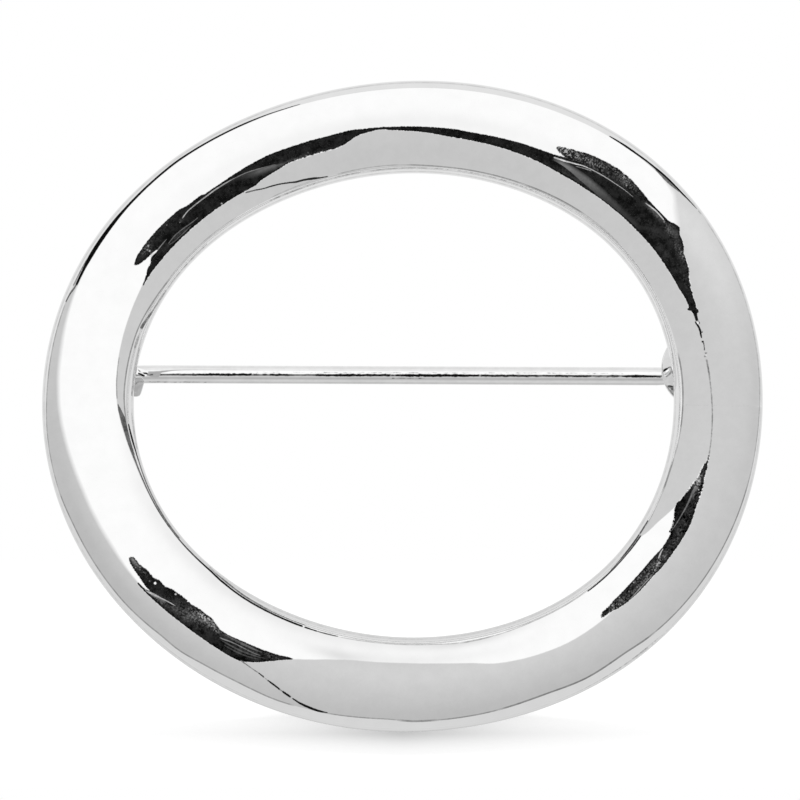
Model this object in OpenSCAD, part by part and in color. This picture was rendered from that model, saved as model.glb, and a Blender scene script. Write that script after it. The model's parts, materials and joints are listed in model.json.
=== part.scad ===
// Open oval ring brooch in polished silver, lying face up on its back.
// The band is an oval ring with a domed front and a flat back. A joint with a hinged pin
// is soldered on its back at the left, and a catch on a round pad at the right.
// Modules draw in the band's own frame: its back is the plane z = 0, its front looks along +Z.
// lie_down() then sets the brooch on its catch, its joint and the lower rim of the band.

/* [Oval] */
// Radius of the band's centre line round the blunt right end
right_r = 16.64; // [16.2:0.04:17.2]
// Height by which the centre of each flank's arc lies beyond the long axis
rise = 5.28; // [4.8:0.12:6]
// Angle by which the oval's long axis is turned against the pin
oval_turn = 1.5; // [0:0.5:3]

/* [Band] */
// Width of the band, from its inner edge to its outer edge
band_w = 5.7; // [5.2:0.02:6.4]
// Thickness of the band, from its flat back to its crest
band_t = 2.9; // [2.7:0.1:3.4]
// Radius of the band's rounded side edges
edge_r = 1.2; // [1:0.1:1.3]

/* [Pin] */
// Diameter of the pin's wire
pin_d = 1.1; // [0.9:0.05:1.2]
// Height of the pin above the middle of the oval, seen from the front
pin_y = 1.9; // [0:0.1:3]
// Distance from the band's back to the pin's axis
pin_drop = 1.75; // [1.6:0.05:2.2]
// Place of the hinge along the pin
hinge_x = -18.7; // [-19:0.1:-18.4]
// Place where the pin's round wire starts, next to its flattened tail
wire_x0 = -16.2; // [-16.6:0.1:-15]
// Place where the pin starts to taper
taper_x = 16.2; // [15:0.1:16.6]
// Place of the pin's point
point_x = 20.6; // [19.8:0.1:21]
// Diameter of the pin's blunt point
point_d = 0.24; // [0.1:0.02:0.4]
// Diameter of the eye at the pin's tail
eye_d = 1.9; // [1.7:0.1:2.1]
// Thickness of the eye
eye_t = 1; // [0.8:0.1:1.1]

/* [Joint] */
// Diameter of the hinge rivet
rivet_d = 0.7; // [0.6:0.05:0.8]
// Thickness of each ear
ear_t = 0.6; // [0.4:0.05:0.8]
// Running gap beside the eye, and of the eye round the rivet
run_gap = 0.06; // [0.04:0.01:0.08]
// Length of the joint's foot along the pin
foot_l = 3.8; // [3:0.1:4.2]
// Thickness of the joint's foot and of the catch's pad behind the band
foot_t = 0.5; // [0.4:0.05:0.6]
// Reach of the foot's tongue, from the middle of the oval
tongue_x = -15.87; // [-16:0.01:-15.5]
// Height of the tongue's lower edge above the middle of the oval
tongue_y0 = 0.59; // [0.4:0.01:0.8]
// Height of the tongue's upper edge above the middle of the oval
tongue_y1 = 1.79; // [1.6:0.01:2]
// Radius of the tongue's corners
tongue_r = 0.3; // [0.2:0.05:0.4]

/* [Catch] */
// Diameter of the catch's round pad
pad_d = 4.9; // [4.4:0.1:5.2]
// Place of the pad's middle along the pin
pad_x = 18.28; // [18:0.02:18.6]
// Height of the pad's middle above the middle of the oval
pad_y = 2.33; // [1.9:0.01:2.6]
// Outer diameter of the catch's hook
hook_d = 2.6; // [2.4:0.1:2.8]
// Inner diameter of the hook
hook_bore_d = 1.3; // [1.2:0.05:1.4]
// Width of the hook's mouth, which opens away from the band
mouth_w = 1; // [0.95:0.01:1.1]
// Length of the hook along the pin
hook_l = 1.8; // [1.4:0.1:2.2]

/* [Hidden] */
$fn = 96;

// Depth to which a foot or pad is let into the band's back
let_in = 0.3;
// Width and height of the bar between the pin's eye and its round wire
tail_w = 1;
// Length by which solids that are joined run into each other
overlap = 0.1;
// Length by which a cutter reaches past what it cuts
past = 1;
// Radial play of the rivet in the ears
rivet_play = 0.01;
// Diameter and thickness of the rivet's heads
head_d = 1.1;
head_t = 0.3;

half_w = band_w / 2;
crest_h = band_t - edge_r;

// The oval has four arcs. The line through the centres of the right end's arc and a flank's
// arc runs as 5 to 12, and the line through those of the left end and a flank as 3 to 4.
// The arcs meet on these lines, so they meet smoothly.
right_way = [5, 12];
left_way = [-3, 4];
flank_r = right_r + rise / right_way.y * norm(right_way);
left_r = flank_r - rise / left_way.y * norm(left_way);
flank_c = -rise / right_way.y * right_way;
left_c = [flank_c.x + rise / left_way.y * left_way.x, 0];

function mirrored(p) = [p.x, -p.y];

// Windows that cut each arc out of its full round, with the arc's centre as origin. Their
// sides run along the two ways, far past the band.
window_h = 36;
far_x = 60;
right_end = right_way * (window_h / right_way.y);
left_end = left_way * (window_h / left_way.y);
function end_window(side, p) = [
    [0, 0],
    p,
    [side * far_x, window_h],
    [side * far_x, -window_h],
    mirrored(p)
];
upper_window = [[0, 0], right_end, left_end];

// Columns: centre, radius and window of each arc
arcs = [
    [[0, 0], right_r, end_window(1, right_end)],
    [flank_c, flank_r, upper_window],
    [left_c, left_r, end_window(-1, left_end)],
    [mirrored(flank_c), flank_r, [for (p = upper_window) mirrored(p)]]
];

// Box of the turned oval, whose middle is the origin of the band's frame
function turned(p) = [
    p.x * cos(oval_turn) - p.y * sin(oval_turn),
    p.x * sin(oval_turn) + p.y * cos(oval_turn)
];
x_max = right_r + half_w;
x_min = turned(left_c).x - left_r - half_w;
y_max = turned(flank_c).y + flank_r + half_w;
y_min = turned(mirrored(flank_c)).y - flank_r - half_w;
middle = [(x_max + x_min) / 2, (y_max + y_min) / 2];
reach_y = (y_max - y_min) / 2;

// How the brooch rests: the lower rim of the band and the lips of the hook touch the surface
rim_y = reach_y - edge_r;
mouth_h = mouth_w / 2;
lip_drop = pin_drop + sqrt(pow(hook_d / 2, 2) - pow(mouth_h, 2));
rest_run = rim_y + pin_y - mouth_h;
rest_rise = lip_drop + edge_r;
tilt = atan2(rest_rise, rest_run) - asin(edge_r / norm([rest_run, rest_rise]));
lift = rim_y * sin(tilt) + edge_r * (1 - cos(tilt));

// The ears are just as low as the lips
ear_y = eye_t / 2 + run_gap;
ear_r = lip_drop - pin_drop + (mouth_h - ear_y - ear_t) * tan(tilt);

module lie_down() {
    translate([0, edge_r * sin(tilt), lift])
        rotate([tilt, 0, 0])
            children();
}

// Crest arc that meets both edge circles smoothly
edge_x = half_w - edge_r;
crest_r = (edge_x * edge_x + crest_h * crest_h - edge_r * edge_r) / (2 * (crest_h - edge_r));
crest_c = band_t - crest_r;
meet = [edge_x, edge_r - crest_c] / (crest_r - edge_r) * crest_r + [0, crest_c];

module band_section() {
    for (side = [-1, 1])
        translate([side * edge_x, edge_r])
            circle(r = edge_r);
    translate([-edge_x, 0])
        square([2 * edge_x, meet.y]);
    intersection() {
        translate([0, crest_c])
            circle(r = crest_r);
        translate([-meet.x, edge_r])
            square([2 * meet.x, band_t]);
    }
}

module band() {
    translate([-middle.x, -middle.y, 0])
        rotate([0, 0, oval_turn])
            for (arc = arcs)
                translate([arc[0].x, arc[0].y, 0])
                    intersection() {
                        rotate_extrude()
                            translate([arc[1], 0])
                                band_section();
                        translate([0, 0, -past])
                            linear_extrude(height = band_t + 2 * past)
                                polygon(arc[2]);
                    }
}

// A round rod across the pin, from y = from to y = to, on the hinge's axis
module across_pin(d, from, to) {
    translate([hinge_x, pin_y + to, -pin_drop])
        rotate([90, 0, 0])
            cylinder(h = to - from, d = d);
}

module tongue() {
    size = [foot_l, tongue_y1 - tongue_y0];
    linear_extrude(height = foot_t + let_in)
        translate([tongue_x - size.x, tongue_y0]) {
            translate([0, tongue_r])
                square([size.x, size.y - 2 * tongue_r]);
            square([size.x - tongue_r, size.y]);
            for (y = [tongue_r, size.y - tongue_r])
                translate([size.x - tongue_r, y])
                    circle(r = tongue_r);
        }
}

module joint() {
    foot_w = 2 * (ear_y + ear_t);
    difference() {
        union() {
            translate([hinge_x - foot_l / 2, pin_y - foot_w / 2, -foot_t])
                cube([foot_l, foot_w, foot_t + let_in]);
            translate([0, 0, -foot_t])
                tongue();
            for (side = [-1, 1]) {
                inner = side > 0 ? ear_y : -ear_y - ear_t;
                across_pin(2 * ear_r, inner, inner + ear_t);
                translate([hinge_x - ear_r, pin_y + inner, -pin_drop])
                    cube([2 * ear_r, ear_t, pin_drop - foot_t + overlap]);
            }
        }
        across_pin(rivet_d + 2 * rivet_play, -foot_w / 2 - past, foot_w / 2 + past);
    }
}

module catch() {
    difference() {
        union() {
            translate([pad_x, pad_y, -foot_t])
                cylinder(h = foot_t + let_in, d = pad_d);
            translate([pad_x - hook_l / 2, pin_y, -pin_drop])
                rotate([0, 90, 0])
                    cylinder(h = hook_l, d = hook_d);
        }
        translate([pad_x - hook_l / 2 - past, pin_y, -pin_drop])
            rotate([0, 90, 0])
                cylinder(h = hook_l + 2 * past, d = hook_bore_d);
        translate([pad_x - hook_l / 2 - past, pin_y - mouth_h, -pin_drop - hook_d])
            cube([hook_l + 2 * past, mouth_w, hook_d]);
    }
}

// Band with the joint and the catch soldered on, one solid
module ring() {
    color("silver")
        lie_down() {
            band();
            joint();
            catch();
        }
}

module hinge_rivet() {
    outer = ear_y + ear_t + rivet_play;
    color("lightgray")
        lie_down() {
            across_pin(rivet_d, -outer - overlap, outer + overlap);
            for (from = [-outer - head_t, outer])
                across_pin(head_d, from, from + head_t);
        }
}

module pin() {
    color("gainsboro")
        lie_down()
            difference() {
                union() {
                    across_pin(eye_d, -eye_t / 2, eye_t / 2);
                    translate([hinge_x, pin_y - eye_t / 2, -pin_drop - tail_w / 2])
                        cube([wire_x0 - hinge_x + overlap, eye_t, tail_w]);
                    translate([wire_x0, pin_y, -pin_drop])
                        rotate([0, 90, 0]) {
                            cylinder(h = taper_x - wire_x0, d = pin_d);
                            translate([0, 0, taper_x - wire_x0])
                                cylinder(h = point_x - taper_x, d1 = pin_d, d2 = point_d);
                        }
                }
                across_pin(rivet_d + 2 * run_gap, -eye_t / 2 - past, eye_t / 2 + past);
            }
}

ring();
hinge_rivet();
pin();
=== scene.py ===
"""Looks of the open oval ring brooch: the band, its soldered joint and catch, the rivet and
the pin in polished silver, on a white table under soft light.

Shapes are worked out in millimetres in the band's own frame. There the band's flat back is
the plane z = 0, its front looks along +Z, and the pin runs along X. lie_down() brings them
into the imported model's frame, in metres.
"""

from collections import namedtuple
import json
import math

import bpy
import numpy as np
from mathutils import Matrix, Vector

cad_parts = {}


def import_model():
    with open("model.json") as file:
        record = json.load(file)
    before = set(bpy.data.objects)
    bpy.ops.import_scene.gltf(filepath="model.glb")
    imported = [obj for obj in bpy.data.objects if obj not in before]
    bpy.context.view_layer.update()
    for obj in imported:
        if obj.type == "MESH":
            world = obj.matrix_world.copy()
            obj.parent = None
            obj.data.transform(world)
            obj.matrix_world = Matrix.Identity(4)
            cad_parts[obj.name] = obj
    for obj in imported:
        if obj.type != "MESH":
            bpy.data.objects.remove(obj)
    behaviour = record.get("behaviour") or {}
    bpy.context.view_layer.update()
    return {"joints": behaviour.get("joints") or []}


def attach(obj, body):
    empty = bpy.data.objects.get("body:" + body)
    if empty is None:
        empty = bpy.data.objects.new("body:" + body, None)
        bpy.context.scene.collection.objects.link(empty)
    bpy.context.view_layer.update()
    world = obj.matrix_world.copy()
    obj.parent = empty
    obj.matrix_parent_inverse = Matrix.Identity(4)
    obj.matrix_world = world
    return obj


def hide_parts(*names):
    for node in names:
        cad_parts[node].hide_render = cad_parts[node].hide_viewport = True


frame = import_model()

MM = 0.001
HINGE = frame["joints"][0]

# Pin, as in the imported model
HINGE_X = -18.7
PIN_Y = 1.9
PIN_DROP = 1.75
PIN_R = 0.55
WIRE_X0 = -16.2
TAPER_X = 16.2
POINT_X = 20.6
POINT_R = 0.12
EYE_R = 0.95
EYE_T = 1.0
EYE_BORE_R = 0.41
TAIL_H = 1.0

# Joint, rivet and catch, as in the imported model
FOOT_T = 0.5
LET_IN = 0.3
FOOT_L = 3.8
EAR_Y = 0.56
EAR_T = 0.6
EAR_R = 1.1
RIVET_R = 0.35
HEAD_R = 0.55
HEAD_T = 0.3
RIVET_PLAY = 0.01
PAD_R = 2.45
PAD_X = 18.28
PAD_Y = 2.33
HOOK_R = 1.3
HOOK_BORE_R = 0.65
HOOK_L = 1.8
MOUTH_W = 1.0

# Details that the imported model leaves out: radii of rounded edges and of beads of solder, and
# how far the corners of outlines are rounded off
JOINT_EDGE = 0.08
JOINT_SOFT = 0.1
JOINT_BEAD = 0.13
TONGUE_EDGE = 0.07
TONGUE_SOFT = 0.16
PAD_EDGE = 0.12
PAD_BEAD = 0.14
HOOK_EDGE = 0.09
EYE_EDGE = 0.12
# Half of the arc, in degrees, on which the pad's bead meets the band's back
PAD_BEAD_ARC = 118
# The tongue's outline, a little askew as in the photo. Columns: x, y
TONGUE = ((-19, 0.61), (-16.6, 0.61), (-16.12, 0.59), (-15.82, 1.65), (-15.98, 1.81),
          (-16.3, 1.83), (-16.6, 1.69), (-19, 1.67))
# Height of a rivet head's side, below its dome, and the chamfer at its foot
HEAD_SIDE = 0.07
HEAD_CHAMFER = 0.06
# How far past the hinge's axis the pin's square tail starts, and how far before the packed
# model's taper its wire starts to thin
TAIL_START = 0.55
TAPER_EARLY = 0.6
# The wire's slant. Columns: x, height above a straight wire
PIN_SLANT = ((-18.2, 0), (-15.5, 0.08), (16, -0.05), (21, -0.06))

# Band: height of the dome over the rounded sides, radius of the lower edges, mean radius and
# half width, middle of the oval
DOME_H = 1.7
EDGE_R = 1.2
MEAN_R = 18.21
HALF_W = 2.822
OVAL_MIDDLE = (-0.03, 0.06)

# Waves of the centre line and of the half width round the oval.
# Columns: waves in one round, height in mm, angle of a crest in degrees
LINE_WAVES = ((1, 0.214, 1.6), (2, 1.14, 1.8), (3, 0.153, 55.2), (4, 0.025, 49),
              (5, 0.032, 33.3), (6, 0.02, 27))
WIDTH_WAVES = ((1, 0.03, 225), (2, 0.071, 70), (3, 0.017, 43), (4, 0.021, 62), (5, 0.009, 37),
               (6, 0.007, 3))

# Camera: distance in front of the band's widest line, middle and width of the frame
CAMERA_DISTANCE = 1500
VIEW_MIDDLE = (-0.184, 0.398)
VIEW_WIDTH = 49.01
SENSOR_W = 36

TILT = math.atan2(HINGE["axis"][2], HINGE["axis"][1])
TURN = Matrix.Rotation(TILT, 3, "X")
LIFT = Vector(HINGE["pos_m"]) / MM - TURN @ Vector((HINGE_X, PIN_Y, -PIN_DROP))


def lie_down(points):
    """Points in the band's frame, in mm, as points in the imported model's frame, in metres."""
    return (np.asarray(points, float) @ np.array(TURN).T + np.array(LIFT)) * MM


def linked(name, data):
    """A new object of the scene."""
    thing = bpy.data.objects.new(name, data)
    bpy.context.scene.collection.objects.link(thing)
    return thing


def mesh_object(name, points, faces, attributes=()):
    """A mesh from points in the band's frame. attributes are (name, values at the points)."""
    mesh = bpy.data.meshes.new(name)
    mesh.from_pydata(lie_down(points).tolist(), [], faces)
    mesh.validate()
    for label, values in attributes:
        values = np.asarray(values, np.float32)
        kind, key = ("FLOAT", "value") if values.ndim == 1 else ("FLOAT_VECTOR", "vector")
        mesh.attributes.new(label, kind, "POINT").data.foreach_set(key, values.ravel())
    mesh.polygons.foreach_set("use_smooth", [True] * len(mesh.polygons))
    mesh.update()
    return linked(name, mesh)


def grid_faces(rows, columns, closed_rows=False, closed_columns=False):
    """Faces of a grid of points, row by row. A closed direction joins its end to its start."""
    faces = []
    for i in range(rows if closed_rows else rows - 1):
        for j in range(columns if closed_columns else columns - 1):
            k, l = (i + 1) % rows, (j + 1) % columns
            faces.append((i * columns + j, i * columns + l, k * columns + l, k * columns + j))
    return faces


def skin(name, rings, closed=False):
    """A skin over rings of points. It is closed on itself, or capped at its ends."""
    rings = np.asarray(rings, float)
    count, n = rings.shape[:2]
    faces = grid_faces(count, n, closed, True)
    if not closed:
        faces += [tuple(range(n))[::-1], tuple(range((count - 1) * n, count * n))]
    return mesh_object(name, rings.reshape(-1, 3), faces)


def placed(points, origin, u, v):
    """Points along the axes u, v and u x v from an origin, in the band's frame."""
    axes = np.array([u, v, np.cross(u, v)], float)
    return np.asarray(points, float) @ axes + origin


def arc(middle, radius, start, end, steps=48):
    """Points of an arc between two angles in degrees."""
    a = np.radians(np.linspace(start, end, steps))
    return np.column_stack([middle[0] + radius * np.cos(a), middle[1] + radius * np.sin(a)])


def softened(corners, blur, count=200):
    """A closed outline as evenly spaced points, with its corners rounded off."""
    loop = np.vstack([corners, corners[:1]])
    steps = np.linalg.norm(np.diff(loop, axis=0), axis=1)
    run = np.concatenate([[0], np.cumsum(steps)])
    even = np.linspace(0, run[-1], count, endpoint=False)
    points = np.column_stack([np.interp(even, run, loop[:, k]) for k in (0, 1)])
    apart = np.minimum(even, run[-1] - even)
    weight = np.exp(-0.5 * (apart / blur) ** 2)
    weight = np.fft.fft(weight / weight.sum())
    return np.real(np.fft.ifft(np.fft.fft(points, axis=0) * weight[:, None], axis=0))


def rounded_edge(edge):
    """Insets and depths of a rounded edge, from the flat face round to the side."""
    turn = np.linspace(0, math.pi / 2, 7)
    return [(edge * (1 - math.sin(a)), edge * (1 - math.cos(a))) for a in turn]


def plate(name, outline, low, high, edge, origin, u, v):
    """A plate with rounded edges. Its outline runs counterclockwise along u and v, and it
    reaches from low to high along u x v."""
    along = np.roll(outline, -1, axis=0) - np.roll(outline, 1, axis=0)
    along /= np.linalg.norm(along, axis=1, keepdims=True)
    outward = np.column_stack([along[:, 1], -along[:, 0]])
    # A narrow flat ring keeps the shading of the flat face apart from that of the edge
    steps = [(1.05 * edge, 0)] + rounded_edge(edge)
    rows = [(i, low + d) for i, d in steps] + [(i, high - d) for i, d in steps[::-1]]
    rings = [np.column_stack([outline - outward * i, np.full(len(outline), w)]) for i, w in rows]
    return skin(name, [placed(r, origin, u, v) for r in rings])


def tube(name, path, radii):
    """A round bead along a path, with the radius given at each of its points."""
    path = np.asarray(path, float)
    along = np.gradient(path, axis=0)
    along /= np.linalg.norm(along, axis=1, keepdims=True)
    a = np.linspace(0, 2 * math.pi, 20, endpoint=False)
    rings = []
    for p, t, r in zip(path, along, radii):
        side = np.cross(t, (0, 0, 1))
        side /= np.linalg.norm(side)
        up = np.cross(t, side)
        rings.append(p + r * (np.cos(a)[:, None] * side + np.sin(a)[:, None] * up))
    return skin(name, rings)


def turned_piece(name, profile, closed=False):
    """A piece turned on the hinge's axis. The profile has the place along the axis, from the
    pin's middle line, and the radius there."""
    a = np.linspace(0, 2 * math.pi, 72, endpoint=False)
    rings = [placed(np.column_stack([r * np.cos(a), r * np.sin(a), np.full(len(a), y)]),
                    (HINGE_X, PIN_Y, -PIN_DROP), (0, 0, 1), (1, 0, 0)) for y, r in profile]
    return skin(name, rings, closed)


def under_band(x, y):
    """Height of the band's underside above its back, at a place in the band's frame."""
    angle = np.arctan2(y - OVAL_MIDDLE[1], x - OVAL_MIDDLE[0])
    line, outward = centre_line(angle)
    across = ((np.column_stack([x, y]) - line) * outward).sum(1)
    flat = waves(HALF_W, WIDTH_WAVES, angle) - EDGE_R
    past = np.clip(np.abs(across) - flat, 0, EDGE_R)
    return EDGE_R - np.sqrt(EDGE_R**2 - past**2)


def seam(name, xy, radius, seed):
    """A lumpy bead of solder where an outline on the back meets the band."""
    rng = np.random.default_rng(seed)
    lumps = np.convolve(rng.normal(size=len(xy) + 8), np.ones(9) / 9, "valid")
    radii = radius * (1 + 0.5 * lumps)
    radii[[0, -1]] *= 0.3
    z = under_band(xy[:, 0], xy[:, 1])
    return tube(name, np.column_stack([xy, z]), radii)


def joint():
    foot_half = EAR_Y + EAR_T
    corners = [(FOOT_L / 2, -foot_half), (FOOT_L / 2, foot_half), (-FOOT_L / 2, foot_half),
               (-FOOT_L / 2, -foot_half)]
    pieces = [plate("joint_foot", softened(corners, JOINT_SOFT), -FOOT_T, LET_IN, JOINT_EDGE,
                    (HINGE_X, PIN_Y, 0), (1, 0, 0), (0, 1, 0))]
    pieces.append(plate("joint_tongue", softened(TONGUE, TONGUE_SOFT), -FOOT_T, LET_IN,
                        TONGUE_EDGE, (0, 0, 0), (1, 0, 0), (0, 1, 0)))
    # The ears run 0.2 mm into the foot
    top = PIN_DROP - FOOT_T + 0.2
    ear = np.vstack([[(EAR_R, top), (-EAR_R, top)], arc((0, 0), EAR_R, 180, 360)])
    for label, y in (("upper", EAR_Y), ("lower", -EAR_Y - EAR_T)):
        pieces.append(plate("joint_ear_" + label, softened(ear, JOINT_SOFT), -y - EAR_T, -y,
                            JOINT_EDGE, (HINGE_X, PIN_Y, -PIN_DROP), (1, 0, 0), (0, 0, 1)))
    half_l = FOOT_L / 2 - JOINT_SOFT
    for label, side in (("upper", 1), ("lower", -1)):
        xs = np.linspace(-half_l, half_l, 40) + HINGE_X
        xy = np.column_stack([xs, np.full(40, PIN_Y + side * foot_half)])
        pieces.append(seam("joint_solder_" + label, xy, JOINT_BEAD, 3 + side))
    return pieces


def hook():
    """The hook as a rounded bar, bent round the pin up to both lips of its mouth."""
    # How far the bar is slimmer and how far it stands back from the lip, at its rounded ends
    ends = rounded_edge(HOOK_EDGE)
    steps = [(slim, back, 0) for slim, back in ends]
    steps += [(0, HOOK_EDGE, t) for t in np.linspace(0, 1, 80)[1:-1]]
    steps += [(slim, back, 1) for slim, back in ends[::-1]]
    half = np.array((HOOK_L / 2, (HOOK_R - HOOK_BORE_R) / 2)) - HOOK_EDGE
    quarter = np.linspace(0, 90, 9)
    rings = []
    for slim, back, t in steps:
        section = []
        for number, (side_x, side_r) in enumerate(((1, 1), (-1, 1), (-1, -1), (1, -1))):
            a = np.radians(quarter + 90 * number)
            corner_r = HOOK_EDGE - slim
            section.append(np.column_stack([side_x * half[0] + corner_r * np.cos(a),
                                            side_r * half[1] + corner_r * np.sin(a)]))
        x, r = np.vstack(section).T
        r = r + (HOOK_R + HOOK_BORE_R) / 2
        lip = np.arcsin((MOUTH_W / 2 + back) / r)
        a = (1 - t) * (lip - math.pi / 2) + t * (1.5 * math.pi - lip)
        rings.append(np.column_stack([PAD_X + x, PIN_Y + r * np.cos(a),
                                      r * np.sin(a) - PIN_DROP]))
    return skin("catch_hook", rings)


def catch():
    pad = plate("catch_pad", arc((0, 0), PAD_R, 0, 360, 201)[:-1], -FOOT_T, LET_IN, PAD_EDGE,
                (PAD_X, PAD_Y, 0), (1, 0, 0), (0, 1, 0))
    bead = arc((PAD_X, PAD_Y), PAD_R, -PAD_BEAD_ARC, PAD_BEAD_ARC, 160)
    return [pad, hook(), seam("catch_solder", bead, PAD_BEAD, 7)]


def rivet():
    outer = EAR_Y + EAR_T + RIVET_PLAY
    bulge = np.linspace(0.12, math.pi / 2, 9)
    head = [(outer + HEAD_SIDE + (HEAD_T - HEAD_SIDE) * math.cos(a), HEAD_R * math.sin(a))
            for a in bulge]
    head += [(outer + HEAD_CHAMFER / 2, HEAD_R - HEAD_CHAMFER / 6),
             (outer, HEAD_R - HEAD_CHAMFER), (outer, RIVET_R)]
    profile = [(-y, r) for y, r in head] + head[::-1]
    return turned_piece("rivet", profile)


def pin_pieces():
    half = EYE_T / 2
    corners = [(-half, EYE_R), (half, EYE_R), (half, EYE_BORE_R), (-half, EYE_BORE_R)]
    eye = turned_piece("pin_eye", softened(corners, EYE_EDGE / 2, 60), closed=True)
    start, thin, round_x = HINGE_X + TAIL_START, TAPER_X - TAPER_EARLY, POINT_X - POINT_R
    tail = np.linspace(start, WIRE_X0 + 0.4, 28)
    wire = np.linspace(WIRE_X0 + 1, thin, 60)
    taper = np.linspace(TAPER_X, round_x, 36)
    tip = round_x + POINT_R * np.sin(np.linspace(0, 1.4, 7))[1:]
    a = np.linspace(0, 2 * math.pi, 56, endpoint=False)
    rings = []
    for x in np.concatenate([tail, wire, taper, tip]):
        # From a rounded square, where the power is low, to a circle
        ease = np.clip((x - start) / (WIRE_X0 - start), 0, 1)
        ease = ease * ease * (3 - 2 * ease)
        power = 2 / (5 - 3 * ease)
        r = (TAIL_H / 2) * (1 - ease) + PIN_R * ease
        if x > thin:
            t = np.clip((x - thin) / (round_x - thin), 0, 1)
            r = POINT_R + (PIN_R - POINT_R) * (1 - t**1.25)
        if x > round_x:
            r = math.sqrt(max(POINT_R**2 - (x - round_x) ** 2, 1e-5))
        up = np.interp(x, *zip(*PIN_SLANT))
        ring = [(r * abs(math.cos(b)) ** power * math.copysign(1, math.cos(b)) + up,
                 r * abs(math.sin(b)) ** power * math.copysign(1, math.sin(b)), x) for b in a]
        rings.append(placed(ring, (0, PIN_Y, -PIN_DROP), (0, 1, 0), (0, 0, 1)))
    return [eye, skin("pin_wire", rings)]


def waves(base, table, angle):
    """base plus the waves in table, at angles in radians."""
    return base + sum(h * np.cos(n * (angle - math.radians(a))) for n, h, a in table)


def centre_line(angle):
    """Point of the band's centre line and its outward normal, at angles in radians."""
    r = waves(MEAN_R, LINE_WAVES, angle)
    rate = sum(-n * h * np.sin(n * (angle - math.radians(a))) for n, h, a in LINE_WAVES)
    c, s = np.cos(angle), np.sin(angle)
    along = np.stack([rate * c - r * s, rate * s + r * c], -1)
    along /= np.linalg.norm(along, axis=-1, keepdims=True)
    outward = np.stack([along[..., 1], -along[..., 0]], -1)
    return np.stack([r * c, r * s], -1) + OVAL_MIDDLE, outward


def band_section(half_w):
    """Closed outline of the band's section: across the band, and above its back."""
    t = np.linspace(0, math.pi, 72, endpoint=False)
    over = [(half_w * math.cos(a), EDGE_R + DOME_H * math.sin(a)) for a in t]
    flat = half_w - EDGE_R
    q = np.linspace(0, math.pi / 2, 12, endpoint=False)
    left = [(-flat - EDGE_R * math.cos(a), EDGE_R - EDGE_R * math.sin(a)) for a in q]
    under = [(x, 0) for x in np.linspace(-flat, flat, 6, endpoint=False)]
    right = [(flat + EDGE_R * math.sin(a), EDGE_R - EDGE_R * math.cos(a)) for a in q]
    return np.array(over + left + under + right)


def band():
    around = 640
    angle = np.linspace(0, 2 * math.pi, around, endpoint=False)
    line, outward = centre_line(angle)
    half_w = waves(HALF_W, WIDTH_WAVES, angle)
    points, place = [], []
    for c, n, w in zip(line, outward, half_w):
        section = band_section(w)
        steps = np.linalg.norm(np.diff(section, axis=0), axis=1)
        run = np.concatenate([[0], np.cumsum(steps)])
        for (x, z), s in zip(section, run):
            points.append((c[0] + n[0] * x, c[1] + n[1] * x, z))
            place.append((c[0], c[1], s))
    count = len(points) // around
    faces = [f[::-1] for f in grid_faces(around, count, True, True)]
    return mesh_object("band", points, faces, attributes=[("place", place)])


def camera_point():
    return np.array([*VIEW_MIDDLE, EDGE_R + CAMERA_DISTANCE])


def on_band(degrees, v):
    """Places and normals on the band, at v from -1 at its inner edge to +1 at its outer edge,
    and the places where noise is looked up."""
    angle = np.radians(degrees)
    line, outward = centre_line(angle)
    half_w = waves(HALF_W, WIDTH_WAVES, angle)
    up = np.sqrt(np.maximum(1 - v * v, 1e-4))
    spot = np.concatenate([line + outward * (v * half_w)[..., None],
                           (EDGE_R + DOME_H * up)[..., None]], -1)
    normal = np.concatenate([outward * (v / half_w)[..., None], (up / DOME_H)[..., None]], -1)
    return spot, normal, np.concatenate([line, v[..., None] * HALF_W], -1)


def on_pin(x, u):
    """The same on the pin's wire, at u from -1 at its lower edge to +1 at its upper edge. Its
    noise is drawn out along it, and looked up away from that of the band."""
    up = np.sqrt(np.maximum(1 - u * u, 1e-4))
    spot = np.stack([x, PIN_Y + PIN_R * u, PIN_R * up - PIN_DROP], -1)
    return spot, np.stack([0 * x, u, up], -1), np.stack([0.45 * x, PIN_R * u, 0 * x + 9], -1)


def on_plate(x, y):
    """The same on the level front of the tongue and the pad."""
    spot = np.stack([x, y, 0 * x + LET_IN], -1)
    return spot, np.broadcast_to([0.0, 0.0, 1.0], spot.shape), spot


# A surface that mirrors cards: its function, mm per unit along and across, the order of a
# face's corners, and the step along a card
Surface = namedtuple("Surface", "spot along_mm across_mm order step")
BAND = Surface(on_band, math.radians(MEAN_R), HALF_W, -1, 0.3)
PIN = Surface(on_pin, 1, PIN_R, 1, 0.06)
PLATE = Surface(on_plate, 1, 1, 1, 0.06)


def mirrored(surface, along, across, reach):
    """Points at a distance of reach along the rays that the camera sees mirrored there."""
    spot, normal, place = surface.spot(along, across)
    normal = normal / np.linalg.norm(normal, axis=-1, keepdims=True)
    ray = spot - camera_point()
    ray /= np.linalg.norm(ray, axis=-1, keepdims=True)
    ray -= 2 * (ray * normal).sum(-1, keepdims=True) * normal
    return spot + ray * reach, place


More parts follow.
